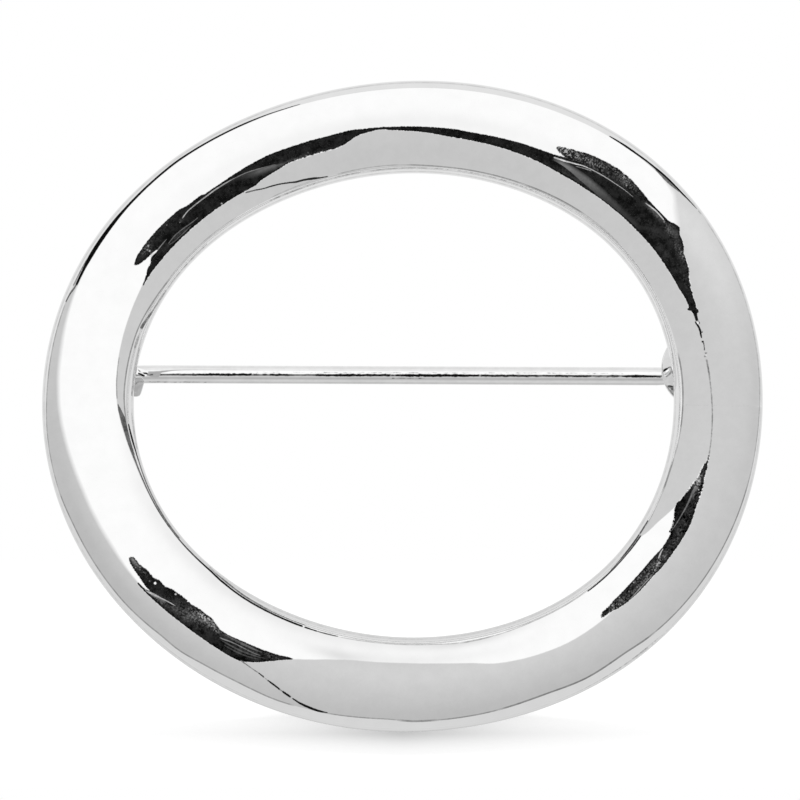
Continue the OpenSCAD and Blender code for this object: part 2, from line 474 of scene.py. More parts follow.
def smooth_rows(table, x):
    """Columns of a table at x, along smooth curves that don't overshoot its rows."""
    table = np.asarray(table, float)
    xs, ys = table[:, 0], table[:, 1:]
    step = np.diff(xs)[:, None]
    slope = np.diff(ys, axis=0) / step
    before, after = slope[:-1], slope[1:]
    same = before * after > 0
    mean = np.where(same, 2 * before * after / np.where(same, before + after, 1), 0)
    tangent = np.concatenate([slope[:1], mean, slope[-1:]])
    i = np.clip(np.searchsorted(xs, x, side="right") - 1, 0, len(xs) - 2)
    h = step[i]
    t = (x[:, None] - xs[i][:, None]) / h
    return (ys[i] * (2 * t**3 - 3 * t**2 + 1) + ys[i + 1] * (3 * t**2 - 2 * t**3)
            + tangent[i] * h * (t**3 - 2 * t**2 + t) + tangent[i + 1] * h * (t**3 - t**2))


SILVER = (0.95, 0.95, 0.95)


def tone(level):
    """Light that looks like a grey of 0 to 255 in the picture, mirrored on silver."""
    x = np.asarray(level, float) / 255
    return np.where(x > 0.04045, ((x + 0.055) / 1.055) ** 2.4, x / 12.92) / SILVER[1]


def link(tree, source, target):
    tree.links.new(source, target)


def math_node(tree, operation, first, second=None, clamp=False):
    node = tree.nodes.new("ShaderNodeMath")
    node.operation = operation
    node.use_clamp = clamp
    for socket, value in zip(node.inputs, (first, second)):
        if value is None:
            continue
        if isinstance(value, (int, float)):
            socket.default_value = value
        else:
            link(tree, value, socket)
    return node.outputs[0]


def attribute_node(tree, name, output):
    node = tree.nodes.new("ShaderNodeAttribute")
    node.attribute_name = name
    return node.outputs[output]


def noise_node(tree, vector, scale, detail=2, roughness=0.5, stretch=(1, 1, 1)):
    mapping = tree.nodes.new("ShaderNodeMapping")
    mapping.inputs["Scale"].default_value = stretch
    link(tree, vector, mapping.inputs["Vector"])
    node = tree.nodes.new("ShaderNodeTexNoise")
    node.inputs["Scale"].default_value = scale
    node.inputs["Detail"].default_value = detail
    node.inputs["Roughness"].default_value = roughness
    link(tree, mapping.outputs["Vector"], node.inputs["Vector"])
    return node.outputs["Fac"]


def new_material(name):
    material = bpy.data.materials.new(name)
    material.use_nodes = True
    tree = material.node_tree
    tree.nodes.clear()
    return material, tree, tree.nodes.new("ShaderNodeOutputMaterial")


def range_node(tree, value, low, high):
    """0 at low, 1 at high, and straight between."""
    node = tree.nodes.new("ShaderNodeMapRange")
    node.inputs["From Min"].default_value = low
    node.inputs["From Max"].default_value = high
    link(tree, value, node.inputs["Value"])
    return node.outputs["Result"]


def bump_node(tree, height, depth, normal):
    """A bump that is depth mm high."""
    node = tree.nodes.new("ShaderNodeBump")
    node.inputs["Distance"].default_value = depth * MM
    link(tree, height, node.inputs["Height"])
    if normal is not None:
        link(tree, normal, node.inputs["Normal"])
    return node.outputs["Normal"]


CARD_VALUES = ("glow", "cover", "mottle", "grain", "ragged")


def card_material():
    """Light by the card's attributes, seen from its front. glow is the light, cover how much
    of it hides what lies behind, mottle the share of the light that comes and goes in blots,
    grain the light of added specks, and ragged how deeply noise bites into the cover. The
    scale of a noise is per mm."""
    material, tree, output = new_material("studio_card")
    place = attribute_node(tree, "place", "Vector")
    glow, cover, mottle, grain, ragged = (attribute_node(tree, v, "Fac") for v in CARD_VALUES)
    # Blots of two sizes, from 0 to 2
    coarse = math_node(tree, "MULTIPLY", noise_node(tree, place, 1.8, 3, 0.6), 0.6)
    fine = math_node(tree, "MULTIPLY", noise_node(tree, place, 8, 2, 0.6), 0.4)
    blots = range_node(tree, math_node(tree, "ADD", coarse, fine), 0.42, 0.58)
    blots = math_node(tree, "MULTIPLY", blots, 2)
    change = math_node(tree, "MULTIPLY", math_node(tree, "SUBTRACT", blots, 1), mottle)
    glow = math_node(tree, "MULTIPLY", glow, math_node(tree, "ADD", change, 1))
    # Specks, where the noise is highest
    specks = range_node(tree, noise_node(tree, place, 9.5, 2, 0.6), 0.5, 0.6)
    glow = math_node(tree, "ADD", glow, math_node(tree, "MULTIPLY", specks, grain))
    bite = math_node(tree, "SUBTRACT", noise_node(tree, place, 8, 3, 0.7), 0.45)
    cover = math_node(tree, "SUBTRACT", cover, math_node(tree, "MULTIPLY", bite, ragged))
    cover = math_node(tree, "MULTIPLY", cover, 1, clamp=True)
    light = tree.nodes.new("ShaderNodeEmission")
    link(tree, glow, light.inputs["Strength"])
    clear = tree.nodes.new("ShaderNodeBsdfTransparent")
    front = math_node(tree, "SUBTRACT", 1,
                      tree.nodes.new("ShaderNodeNewGeometry").outputs["Backfacing"])
    mix = tree.nodes.new("ShaderNodeMixShader")
    link(tree, math_node(tree, "MULTIPLY", cover, front), mix.inputs["Fac"])
    link(tree, clear.outputs[0], mix.inputs[1])
    link(tree, light.outputs[0], mix.inputs[2])
    link(tree, mix.outputs[0], output.inputs["Surface"])
    return material


def prop(thing, glow, cover=1, mottle=0, grain=0, ragged=0):
    """Makes a mesh a studio prop that is seen in reflections alone, and casts no shadow."""
    for label, value in zip(CARD_VALUES, (glow, cover, mottle, grain, ragged)):
        values = np.broadcast_to(np.asarray(value, np.float32), glow.shape).ravel()
        thing.data.attributes.new(label, "FLOAT", "POINT").data.foreach_set("value", values)
    thing.data.materials.append(STUDIO_CARD)
    thing.visible_camera = False
    thing.visible_diffuse = False
    thing.visible_transmission = False
    thing.visible_volume_scatter = False
    thing.visible_shadow = False


def card(name, surface, reach, along, low, high, level, soft=0.04, fade=0.04, rows=22, **more):
    """A card seen mirrored between low and high across a surface. level is its grey in the
    picture, or a function of the places along and across and of the distance from its rim in
    mm. soft, at the low and the high side, and fade, at the ends, are the widths in mm over
    which it comes up."""
    share = (1 - np.cos(np.linspace(0, math.pi, rows))) / 2
    v = low[:, None] + (high - low)[:, None] * share
    a = along[:, None] + 0 * v
    points, place = mirrored(surface, a, v, reach)
    soft_low, soft_high = soft if isinstance(soft, tuple) else (soft, soft)
    from_low = (v - low[:, None]) * surface.across_mm
    from_high = (high[:, None] - v) * surface.across_mm
    from_end = np.minimum(along - along[0], along[-1] - along)[:, None] * surface.along_mm
    cover = np.minimum(np.minimum(from_low / np.reshape(soft_low, (-1, 1)),
                                  from_high / np.reshape(soft_high, (-1, 1))), from_end / fade)
    rim = np.minimum(np.minimum(from_low, from_high), from_end)
    glow = tone(level(a, v, rim) if callable(level) else level + 0 * v)
    faces = [f[::surface.order] for f in grid_faces(len(along), rows)]
    thing = mesh_object("card_" + name, points.reshape(-1, 3), faces,
                        attributes=[("place", place.reshape(-1, 3))])
    more = {k: f(a, v, rim) if callable(f) else f for k, f in more.items()}
    prop(thing, glow, cover, **more)


def turns(start, end, step=BAND.step):
    return np.linspace(start, end, max(16, int((end - start) / step)))


def shaped(name, surface, reach, table, level, widen=0, **more):
    """A card from a table with the columns along, low and high, widened by some mm."""
    along = turns(table[0][0], table[-1][0], surface.step)
    low, high = smooth_rows(table, along).T
    widen = widen / surface.across_mm
    card(name, surface, reach, along, low - widen, high + widen, level, **more)


def stroke(name, surface, reach, table, level, soft=0.03, **more):
    """A line from a table with the columns along, across and width."""
    along = turns(table[0][0], table[-1][0], surface.step)
    v, width = smooth_rows(table, along).T
    half = width / 2 + soft / 2 / surface.across_mm
    card(name, surface, reach, along, v - half, v + half, level, soft=soft, rows=9, **more)


def spots(base, table, rim_grey=None, rim_width=0.12):
    """A grey that changes softly. Columns: angle, v, spread in degrees, spread in v, change.
    Near the rim it goes to rim_grey, if that is given."""
    def level(degrees, v, rim):
        grey = base + 0 * v
        for a, middle, spread_a, spread_v, change in table:
            turn = (degrees - a + 180) % 360 - 180
            grey = grey + change * np.exp(-(turn / spread_a) ** 2 - ((v - middle) / spread_v) ** 2)
        if rim_grey is not None:
            ease = np.clip(rim / rim_width, 0, 1) ** 2
            grey = rim_grey + (grey - rim_grey) * ease
        return np.clip(grey, 0, 255)
    return level


# Cards over the band. Angles run from the right end, counterclockwise, and v from -1 at the
# inner edge to +1 at the outer edge.

# Soft changes of grey. Columns: angle, v, spread in degrees, spread in v, change
GREY_SHADES = ((30, 0.6, 16, 0.4, 15), (285, 0.75, 55, 0.45, -18), (285, -0.2, 50, 0.25, 6),
               (205, 0.8, 35, 0.35, -16), (85, -0.6, 60, 0.6, -8), (0, 0.85, 15, 0.15, -7))
WHITE_SHADES = ((95, 0.12, 40, 0.2, -10), (270, -0.5, 22, 0.14, -12), (235, -0.85, 45, 0.2, -18),
                (285, -0.82, 12, 0.1, -22), (256, -0.45, 6, 0.12, -18))

# Where the mirrored studio ends and the table's edge begins. Columns: angle, v
OUTER_HORIZON = ((0, 0.925), (6, 0.94), (12, 0.945), (25, 0.95), (31, 0.945), (36, 0.91),
                 (41, 0.88), (51, 0.865), (62, 0.85), (90, 0.85), (107, 0.855), (120, 0.88),
                 (134, 0.905), (145, 0.88), (157, 0.87), (163, 0.90), (176, 0.895), (186, 0.915),
                 (193, 0.91), (200, 0.875), (214, 0.865), (219, 0.84), (223, 0.815), (226, 0.825),
                 (232, 0.775), (238, 0.755), (247, 0.785), (252, 0.78), (261, 0.75), (267, 0.735),
                 (273, 0.775), (285, 0.765), (297, 0.72), (305, 0.76), (312, 0.735), (318, 0.79),
                 (325, 0.83), (340, 0.88), (350, 0.905), (360, 0.925))
INNER_HORIZON = ((0, -0.80), (6, -0.79), (14, -0.81), (28, -0.83), (48, -0.82), (62, -0.83),
                 (80, -0.835), (96, -0.81), (107, -0.825), (125, -0.855), (150, -0.86),
                 (157, -0.825), (164, -0.785), (176, -0.785), (182, -0.815), (186, -0.86),
                 (192, -0.90), (200, -0.915), (218, -0.93), (225, -0.89), (231, -0.855),
                 (250, -0.835), (265, -0.85), (276, -0.845), (284, -0.81), (293, -0.825),
                 (302, -0.85), (320, -0.85), (345, -0.87), (353, -0.825), (360, -0.80))
# The white card. Columns: angle, low v, high v
WHITE = ((32, 0.38, 0.41), (33, 0.25, 0.48), (35, 0.2, 0.63), (37.7, 0.2, 0.845),
         (52, 0.1, 0.865), (60, -0.08, 0.855), (75, -0.1, 0.85), (90, 0, 0.85),
         (97, 0, 0.85), (110, -0.1, 0.86), (133, -0.1, 0.88), (147.5, -0.25, 0.855),
         (150, -0.33, 0.85), (152, -0.39, 0.84), (154, -0.445, 0.835), (160, -0.5, 0.83),
         (166, -0.54, 0.80), (172, -0.58, 0.75), (175, -0.6, 0.73), (178, -0.63, 0.695),
         (180, -0.655, 0.675), (183, -0.705, 0.63), (186, -0.76, 0.58), (190, -0.825, 0.52),
         (195, -0.875, 0.455), (205, -0.91, 0.40), (213, -0.92, 0.375), (216, -0.92, 0.3),
         (220, -0.92, 0.1), (225, -0.89, 0.05), (231, -0.855, 0.05), (237, -0.84, 0.05),
         (245, -0.84, -0.05), (247, -0.84, -0.13), (251, -0.84, -0.245), (254, -0.84, -0.325),
         (260, -0.845, -0.415), (270, -0.85, -0.45), (276, -0.845, -0.43), (284, -0.81, -0.35),
         (290, -0.82, -0.22), (298, -0.845, -0.135), (305, -0.85, -0.10), (313, -0.85, -0.13),
         (320, -0.85, -0.2), (330, -0.85, -0.2), (332, -0.78, -0.22), (335, -0.69, -0.28),
         (338, -0.56, -0.3), (340, -0.47, -0.4))

# Dark cards. Columns: angle, low v, high v
PATCH_A = ((17.3, -0.235, -0.17), (17.7, -0.25, -0.11), (18.2, -0.265, -0.125),
           (18.6, -0.335, -0.14), (18.85, -0.33, -0.13), (19.1, -0.28, -0.115),
           (20.1, -0.28, -0.118), (21, -0.29, -0.1), (21.7, -0.3, -0.09), (22.3, -0.31, -0.09),
           (22.9, -0.318, -0.045), (23.7, -0.322, -0.04), (24.3, -0.324, 0),
           (25.5, -0.329, 0.066), (27.3, -0.334, 0.119), (28.4, -0.339, 0.147),
           (29.4, -0.338, 0.233), (30.4, -0.338, 0.274), (31.5, -0.337, 0.304),
           (32.4, -0.342, 0.39), (33.4, -0.346, 0.36), (35, -0.35, 0.271), (38.5, -0.361, 0.263),
           (45, -0.359, 0.197), (50, -0.355, 0.121), (56, -0.328, 0.034), (60, -0.293, -0.025),
           (65, -0.256, -0.032), (75, -0.21, -0.04), (80, -0.184, -0.013), (86, -0.111, 0),
           (92, -0.054, 0.017), (94.5, -0.018, 0.028), (99, -0.075, 0.042), (100, -0.105, 0.053),
           (102.5, -0.225, 0.045), (105, -0.278, 0.032), (115, -0.286, 0.038),
           (117, -0.326, 0.043), (122, -0.406, 0.017), (123.3, -0.447, 0.007),
           (130, -0.455, -0.038), (133, -0.452, -0.045), (133.6, -0.452, -0.016),
           (137, -0.46, -0.014), (139, -0.461, 0.035), (145, -0.463, 0.042), (149, -0.458, 0.026))
LOBE_A = ((38.5, 0.193, 0.263), (42.5, 0.096, 0.335), (45, 0.098, 0.372), (47, 0.08, 0.378),
          (50, 0.062, 0.355), (53, 0.034, 0.316), (55, 0.024, 0.267), (56.5, 0.025, 0.233),
          (58, 0.064, 0.193), (59, 0.124, 0.159))
LOBE_B_UP = ((147, -0.229, 0.036), (149, -0.204, 0.021), (150.5, -0.173, 0.011),
             (151.5, -0.138, -0.019), (152.3, -0.078, -0.048))
LOBE_B_LOW = ((147, -0.463, -0.259), (149.5, -0.458, -0.268), (150.2, -0.458, -0.328),
              (151.4, -0.458, -0.343), (152.4, -0.457, -0.392), (153.5, -0.462, -0.422),
              (154.7, -0.466, -0.451))
LOBE_C = ((208.9, 0.129, 0.17), (209.5, 0.088, 0.216), (211, 0.083, 0.241), (213, 0.033, 0.257),
          (214.5, 0.034, 0.282), (215.8, -0.018, 0.288), (217, -0.012, 0.273),
          (218.7, -0.082, 0.222), (220, -0.102, 0.202), (222, -0.116, 0.102), (224, -0.1, 0.002))
PATCH_C = ((213.3, 0.355, 0.384), (215, 0.34, 0.376), (216.5, 0.252, 0.369), (218, 0.202, 0.359),
           (220, 0.101, 0.352), (222, 0, 0.343), (223.5, -0.11, 0.335), (225.7, -0.138, 0.332),
           (228.2, -0.13, 0.33), (229.5, -0.085, 0.333), (231.2, -0.025, 0.336),
           (233, -0.022, 0.342), (235.1, -0.045, 0.348), (236.7, -0.058, 0.341),
           (239, -0.07, 0.265), (241.1, -0.085, 0.155), (243, -0.1, 0.052),
           (245.2, -0.13, -0.065), (246.8, -0.145, -0.125))
PATCH_D = ((312.9, -0.23, -0.17), (314, -0.285, -0.172), (315.5, -0.3, -0.165),
           (316.8, -0.325, -0.125), (319.8, -0.345, -0.1), (322.4, -0.357, -0.09),
           (325.7, -0.357, -0.09), (327.5, -0.352, -0.065), (329.3, -0.332, -0.05),
           (331, -0.303, -0.046), (332.5, -0.297, -0.035), (334.7, -0.304, -0.022),
           (337.2, -0.302, -0.012), (338.5, -0.3, -0.02), (340.4, -0.299, -0.045),
           (343, -0.287, -0.048), (344.6, -0.271, -0.055), (346.6, -0.225, -0.078),
           (348, -0.2, -0.082), (349, -0.165, -0.086), (349.4, -0.122, -0.088),
           (350.7, -0.108, -0.088))
WEDGE_D = ((334.3, -0.35, -0.27), (336, -0.375, -0.25), (337.2, -0.405, -0.24),
           (338, -0.435, -0.24), (339.3, -0.484, -0.24), (339.9, -0.482, -0.24),
           (341.2, -0.434, -0.24), (342.3, -0.392, -0.24), (343.7, -0.345, -0.24),
           (345, -0.3, -0.24), (345.6, -0.27, -0.24))
# Columns: name, table, raggedness, mottling
PATCHES = (("a", PATCH_A, 5, 0.6), ("a_lobe", LOBE_A, 9, 0.6), ("b_up", LOBE_B_UP, 4, 0.4),
           ("b_low", LOBE_B_LOW, 7, 0.3), ("c", PATCH_C, 4, 0.8), ("c_lobe", LOBE_C, 7, 0.6),
           ("d", PATCH_D, 5, 1.1), ("d_wedge", WEDGE_D, 9, 0.8))
# Where their rims are more ragged. Columns as in the soft changes of grey
RAGGED = ((110, -0.28, 6, 0.06, 12), (227, -0.12, 4, 0.08, 6), (218, 0, 6, 0.12, 5),
          (314, -0.2, 2.5, 0.12, 12), (346, -0.2, 4, 0.2, 14), (343, -0.05, 4, 0.05, 10),
          (336, -0.36, 2, 0.05, 14), (24, 0, 6, 0.12, 7), (57, 0.15, 3, 0.12, 6))
# Where the dark cards are lighter, and where they are speckled with light. The same columns
DARK_SHADES = ((55, -0.27, 5, 0.06, 26), (32.5, 0.22, 2, 0.1, 34), (26.5, 0.06, 2.5, 0.07, 22),
               (37.5, 0.19, 2.5, 0.05, 42), (50, 0.25, 9, 0.12, 10), (43.5, 0.3, 2, 0.06, 24),
               (35, -0.06, 3, 0.08, 12), (38.5, -0.16, 2, 0.06, 10), (31, -0.2, 4, 0.08, 14),
               (147, -0.05, 5, 0.12, 8), (142, -0.36, 3, 0.03, 44), (114, -0.27, 4, 0.05, 50),
               (140, -0.17, 0.5, 0.03, 60), (228, -0.02, 2.6, 0.09, 52), (224, 0.12, 4, 0.14, 30),
               (209.8, 0.14, 1.2, 0.06, 85), (218, 0.28, 1.2, 0.05, 55), (237, 0.1, 4.5, 0.1, 26),
               (236, 0, 4, 0.03, 40), (345, -0.2, 2, 0.06, 60),
               (327.5, -0.17, 2.5, 0.06, 30), (317.5, -0.2, 2.5, 0.09, 25))
GRAIN = ((57, 0.15, 3, 0.12, 175), (52, 0.22, 3, 0.1, 115), (46.5, 0.32, 3, 0.07, 115),
         (44, 0.24, 3, 0.08, 75), (49, 0.13, 5, 0.1, 50), (37.5, 0.2, 2.5, 0.05, 100),
         (33, 0.2, 2, 0.1, 90), (28.5, 0.1, 2.5, 0.07, 130), (24, -0.1, 5, 0.1, 50),
         (227.5, -0.07, 2.5, 0.06, 190), (230, 0.02, 1.5, 0.05, 170), (225, 0.05, 3, 0.15, 110),
         (221, 0.2, 4, 0.1, 60), (211.5, 0.12, 2, 0.06, 120),
         (218, 0.28, 1.5, 0.05, 100), (243, -0.03, 3, 0.06, 90), (345.5, -0.2, 2.5, 0.08, 170),
         (335, -0.15, 9, 0.12, 70), (323, -0.17, 4, 0.07, 100), (317, -0.2, 2.5, 0.1, 135),
         (328, -0.18, 2.5, 0.08, 110), (324, -0.3, 4, 0.04, 110), (110, -0.27, 5, 0.04, 130),
         (148.5, -0.06, 1.6, 0.08, 110), (142, 0, 5, 0.06, 40))

# Lines on the band. Columns: angle, v, width in v. The first entry is their grey.
LINES = (
    (185, ((32, 0.95, 0.02), (32.4, 0.948, 0.035), (32.8, 0.945, 0.02))),
    (14, ((32.9, 0.942, 0.012), (34, 0.93, 0.02), (35.2, 0.92, 0.028), (36.5, 0.908, 0.038),
          (38, 0.905, 0.04), (40, 0.9, 0.048), (41, 0.897, 0.048), (42.5, 0.889, 0.042),
          (44, 0.885, 0.038), (46, 0.876, 0.04), (48, 0.873, 0.046), (49.5, 0.87, 0.036),
          (51, 0.868, 0.028), (51.6, 0.868, 0.015))),
    (110, ((36.8, 0.888, 0.02), (38, 0.873, 0.04), (39.5, 0.862, 0.06), (41, 0.865, 0.045),
           (42.3, 0.87, 0.02))),
    (14, ((109, 0.866, 0.01), (112, 0.868, 0.019), (115.5, 0.878, 0.022), (118, 0.881, 0.03),
          (120, 0.883, 0.036), (125, 0.888, 0.038), (130, 0.896, 0.041), (134, 0.903, 0.045),
          (137, 0.894, 0.046), (140, 0.886, 0.048), (145, 0.878, 0.056), (147, 0.875, 0.07),
          (150, 0.869, 0.085), (154, 0.862, 0.093), (156, 0.856, 0.083), (157.5, 0.848, 0.06),
          (160.4, 0.838, 0.05))),
    (125, ((154.5, 0.893, 0.02), (157, 0.893, 0.026), (159, 0.891, 0.026), (160.7, 0.892, 0.03))),
    (95, ((160.2, 0.842, 0.03), (160.8, 0.85, 0.036), (161.3, 0.865, 0.04), (162, 0.886, 0.035),
          (163.5, 0.905, 0.028))),
    (95, ((179.6, -0.655, 0.02), (181, -0.7, 0.07), (182.8, -0.755, 0.11), (185, -0.79, 0.085),
          (187.5, -0.825, 0.075), (190, -0.85, 0.05), (193, -0.88, 0.032), (198, -0.905, 0.028),
          (205, -0.912, 0.03), (212, -0.918, 0.03), (218, -0.919, 0.03))),
    (35, ((181.8, -0.755, 0.015), (182.8, -0.8, 0.03), (185, -0.827, 0.026), (188, -0.86, 0.022),
          (191, -0.885, 0.015))),
    (30, ((183.9, -0.87, 0.024), (187, -0.903, 0.04), (190, -0.93, 0.028), (192.5, -0.941, 0.02))),
    (90, ((191.5, -0.938, 0.018), (195, -0.948, 0.032), (200, -0.948, 0.034), (206, -0.945, 0.032),
          (212, -0.942, 0.02))),
    (22, ((211.4, -0.918, 0.02), (216, -0.922, 0.03), (221, -0.92, 0.037), (225, -0.892, 0.042),
          (228, -0.872, 0.038), (231, -0.857, 0.038), (235, -0.847, 0.038), (240, -0.842, 0.038),
          (245, -0.838, 0.042), (246.4, -0.837, 0.04))),
    (35, ((246.7, -0.837, 0.036), (247.5, -0.836, 0.036), (248.6, -0.836, 0.028),
          (250, -0.835, 0.028))),
    (100, ((249.8, -0.835, 0.026), (252.3, -0.837, 0.03), (255, -0.842, 0.02))),
    (125, ((221, -0.965, 0.03), (226, -0.935, 0.036), (230, -0.907, 0.036), (235, -0.888, 0.03),
           (240, -0.88, 0.022), (247, -0.878, 0.014))),
    (45, ((313.8, -0.836, 0.028), (318, -0.838, 0.032), (321, -0.84, 0.03),
          (325.5, -0.843, 0.022))),
    (22, ((325, -0.843, 0.02), (327.5, -0.842, 0.028), (330.3, -0.843, 0.032),
          (331, -0.846, 0.024))),
    (75, ((320, -0.85, 0.014), (324, -0.873, 0.026), (328, -0.883, 0.036), (331, -0.887, 0.034))),
    (100, ((330.9, -0.887, 0.036), (332.5, -0.887, 0.036), (334.6, -0.886, 0.026))),
    (130, ((321, -0.86, 0.03), (326, -0.862, 0.03), (330.5, -0.865, 0.03))),
    (140, ((167, -0.957, 0.02), (171, -0.962, 0.036), (178, -0.958, 0.036))),
    (150, ((181.5, -0.957, 0.02), (185, -0.966, 0.034), (190, -0.97, 0.02))),
    (150, ((170, -0.57, 0.012), (175, -0.605, 0.018), (178.7, -0.64, 0.022))),
    (40, ((107.5, -0.824, 0.02), (109.2, -0.808, 0.03), (111, -0.776, 0.052),
          (113.1, -0.742, 0.045), (114.8, -0.728, 0.042), (116.3, -0.689, 0.036),
          (118.3, -0.642, 0.033), (120.3, -0.608, 0.033), (122, -0.585, 0.026),
          (123.7, -0.538, 0.034))),
    (95, ((123, -0.553, 0.026), (124.4, -0.522, 0.03), (125.9, -0.485, 0.034))),
    (140, ((237.2, 0.318, 0.022), (239.3, 0.357, 0.024), (241.3, 0.396, 0.022))),
    (50, ((241.2, 0.392, 0.02), (241.9, 0.412, 0.03), (242.75, 0.438, 0.028))),
    (150, ((242.7, 0.438, 0.02), (243.1, 0.451, 0.022), (243.6, 0.469, 0.02))),
    (18, ((243.4, 0.462, 0.028), (244.6, 0.496, 0.04), (246.35, 0.556, 0.038))),
    (110, ((246.3, 0.555, 0.022), (246.6, 0.566, 0.024), (246.9, 0.578, 0.022))),
    (18, ((246.75, 0.573, 0.036), (247.3, 0.59, 0.046), (248, 0.612, 0.048),
          (248.75, 0.636, 0.036))),
    (18, ((248.95, 0.643, 0.028), (249.9, 0.675, 0.036), (250.6, 0.698, 0.042),
          (251.3, 0.712, 0.05), (252.4, 0.733, 0.052), (253.5, 0.75, 0.052), (254.4, 0.759, 0.046),
          (255.3, 0.76, 0.034), (256.2, 0.757, 0.024))),
    (22, ((15.95, -0.195, 0.05), (16.3, -0.21, 0.065), (17, -0.205, 0.07), (17.6, -0.2, 0.09))),
    (22, ((12.6, -0.215, 0.024), (13.3, -0.215, 0.038), (14.2, -0.207, 0.048),
          (14.8, -0.217, 0.048), (15.3, -0.228, 0.046), (15.9, -0.255, 0.032),
          (16.15, -0.25, 0.02))),
    (30, ((13.6, -0.195, 0.04), (13.8, -0.185, 0.06), (14, -0.19, 0.04))),
    (45, ((15.3, -0.19, 0.025), (15.6, -0.172, 0.022), (15.95, -0.182, 0.03))),
    (85, ((10.3, -0.212, 0.026), (10.9, -0.202, 0.022), (11.5, -0.197, 0.022), (12, -0.202, 0.03))),
    (22, ((11.75, -0.202, 0.04), (12, -0.21, 0.045), (12.25, -0.207, 0.03))),
    (50, ((9.62, -0.19, 0.035), (9.8, -0.19, 0.055), (9.98, -0.187, 0.04))),
    (160, ((9.02, -0.21, 0.03), (9.25, -0.225, 0.04), (9.48, -0.22, 0.02))),
    (165, ((350.5, -0.096, 0.03), (358, -0.13, 0.03), (3, -0.165, 0.03), (5, -0.178, 0.03))),
    (138, ((4.6, -0.175, 0.03), (6.5, -0.188, 0.04), (8.7, -0.202, 0.04))),
    (160, ((164.5, -0.85, 0.03), (166, -0.85, 0.05), (167.5, -0.85, 0.03))),
    (120, ((158.5, -0.92, 0.043), (161, -0.875, 0.056), (162.4, -0.85, 0.069),
           (163, -0.845, 0.056))),
    (175, ((100, -0.88, 0.022), (110, -0.885, 0.027), (115, -0.895, 0.027),
           (122, -0.888, 0.022))),
    (172, ((139, -0.935, 0.02), (147, -0.945, 0.027), (153, -0.945, 0.033), (158, -0.92, 0.035),
           (161, -0.885, 0.038))),
    (190, ((52, -0.885, 0.02), (75, -0.885, 0.02), (98, -0.885, 0.02))),
    (185, ((300, 0.965, 0.022), (310, 0.95, 0.03), (317, 0.95, 0.043), (320, 0.965, 0.02))),
)
# Stretches of line along a horizon. Columns: outer, start, end, shift in v, width in v, grey
HORIZON_LINES = (
    (True, 163, 194, 0, 0.018, 180), (True, 193, 250, 0, 0.022, 162),
    (True, 255, 270, 0, 0.018, 165), (True, 269, 277, 0, 0.035, 155),
    (True, 276, 289, 0, 0.022, 155), (True, 288, 319, 0, 0.03, 142),
    (True, 318, 348, 0, 0.022, 155), (True, 346, 369, 0, 0.016, 182),
    (True, 366, 391, 0, 0.014, 192),
    (False, 341, 349, 0, 0.03, 155), (False, 348, 356, 0, 0.018, 185),
    (False, 354, 371, 0, 0.028, 160), (False, 37, 48, 0, 0.016, 188),
    (False, 47, 63, 0, 0.024, 155), (False, 62, 90, 0, 0.018, 160), (False, 89, 106, 0, 0.016, 182),
    (False, 111, 122, 0.02, 0.014, 188), (False, 130, 152, 0.01, 0.016, 190),
    (False, 150, 184, 0, 0.024, 158), (False, 255, 283, 0, 0.016, 205),
    (False, 283, 291, 0, 0.022, 188), (False, 290, 313, 0, 0.018, 208),
    (False, 333, 342, 0, 0.014, 190))
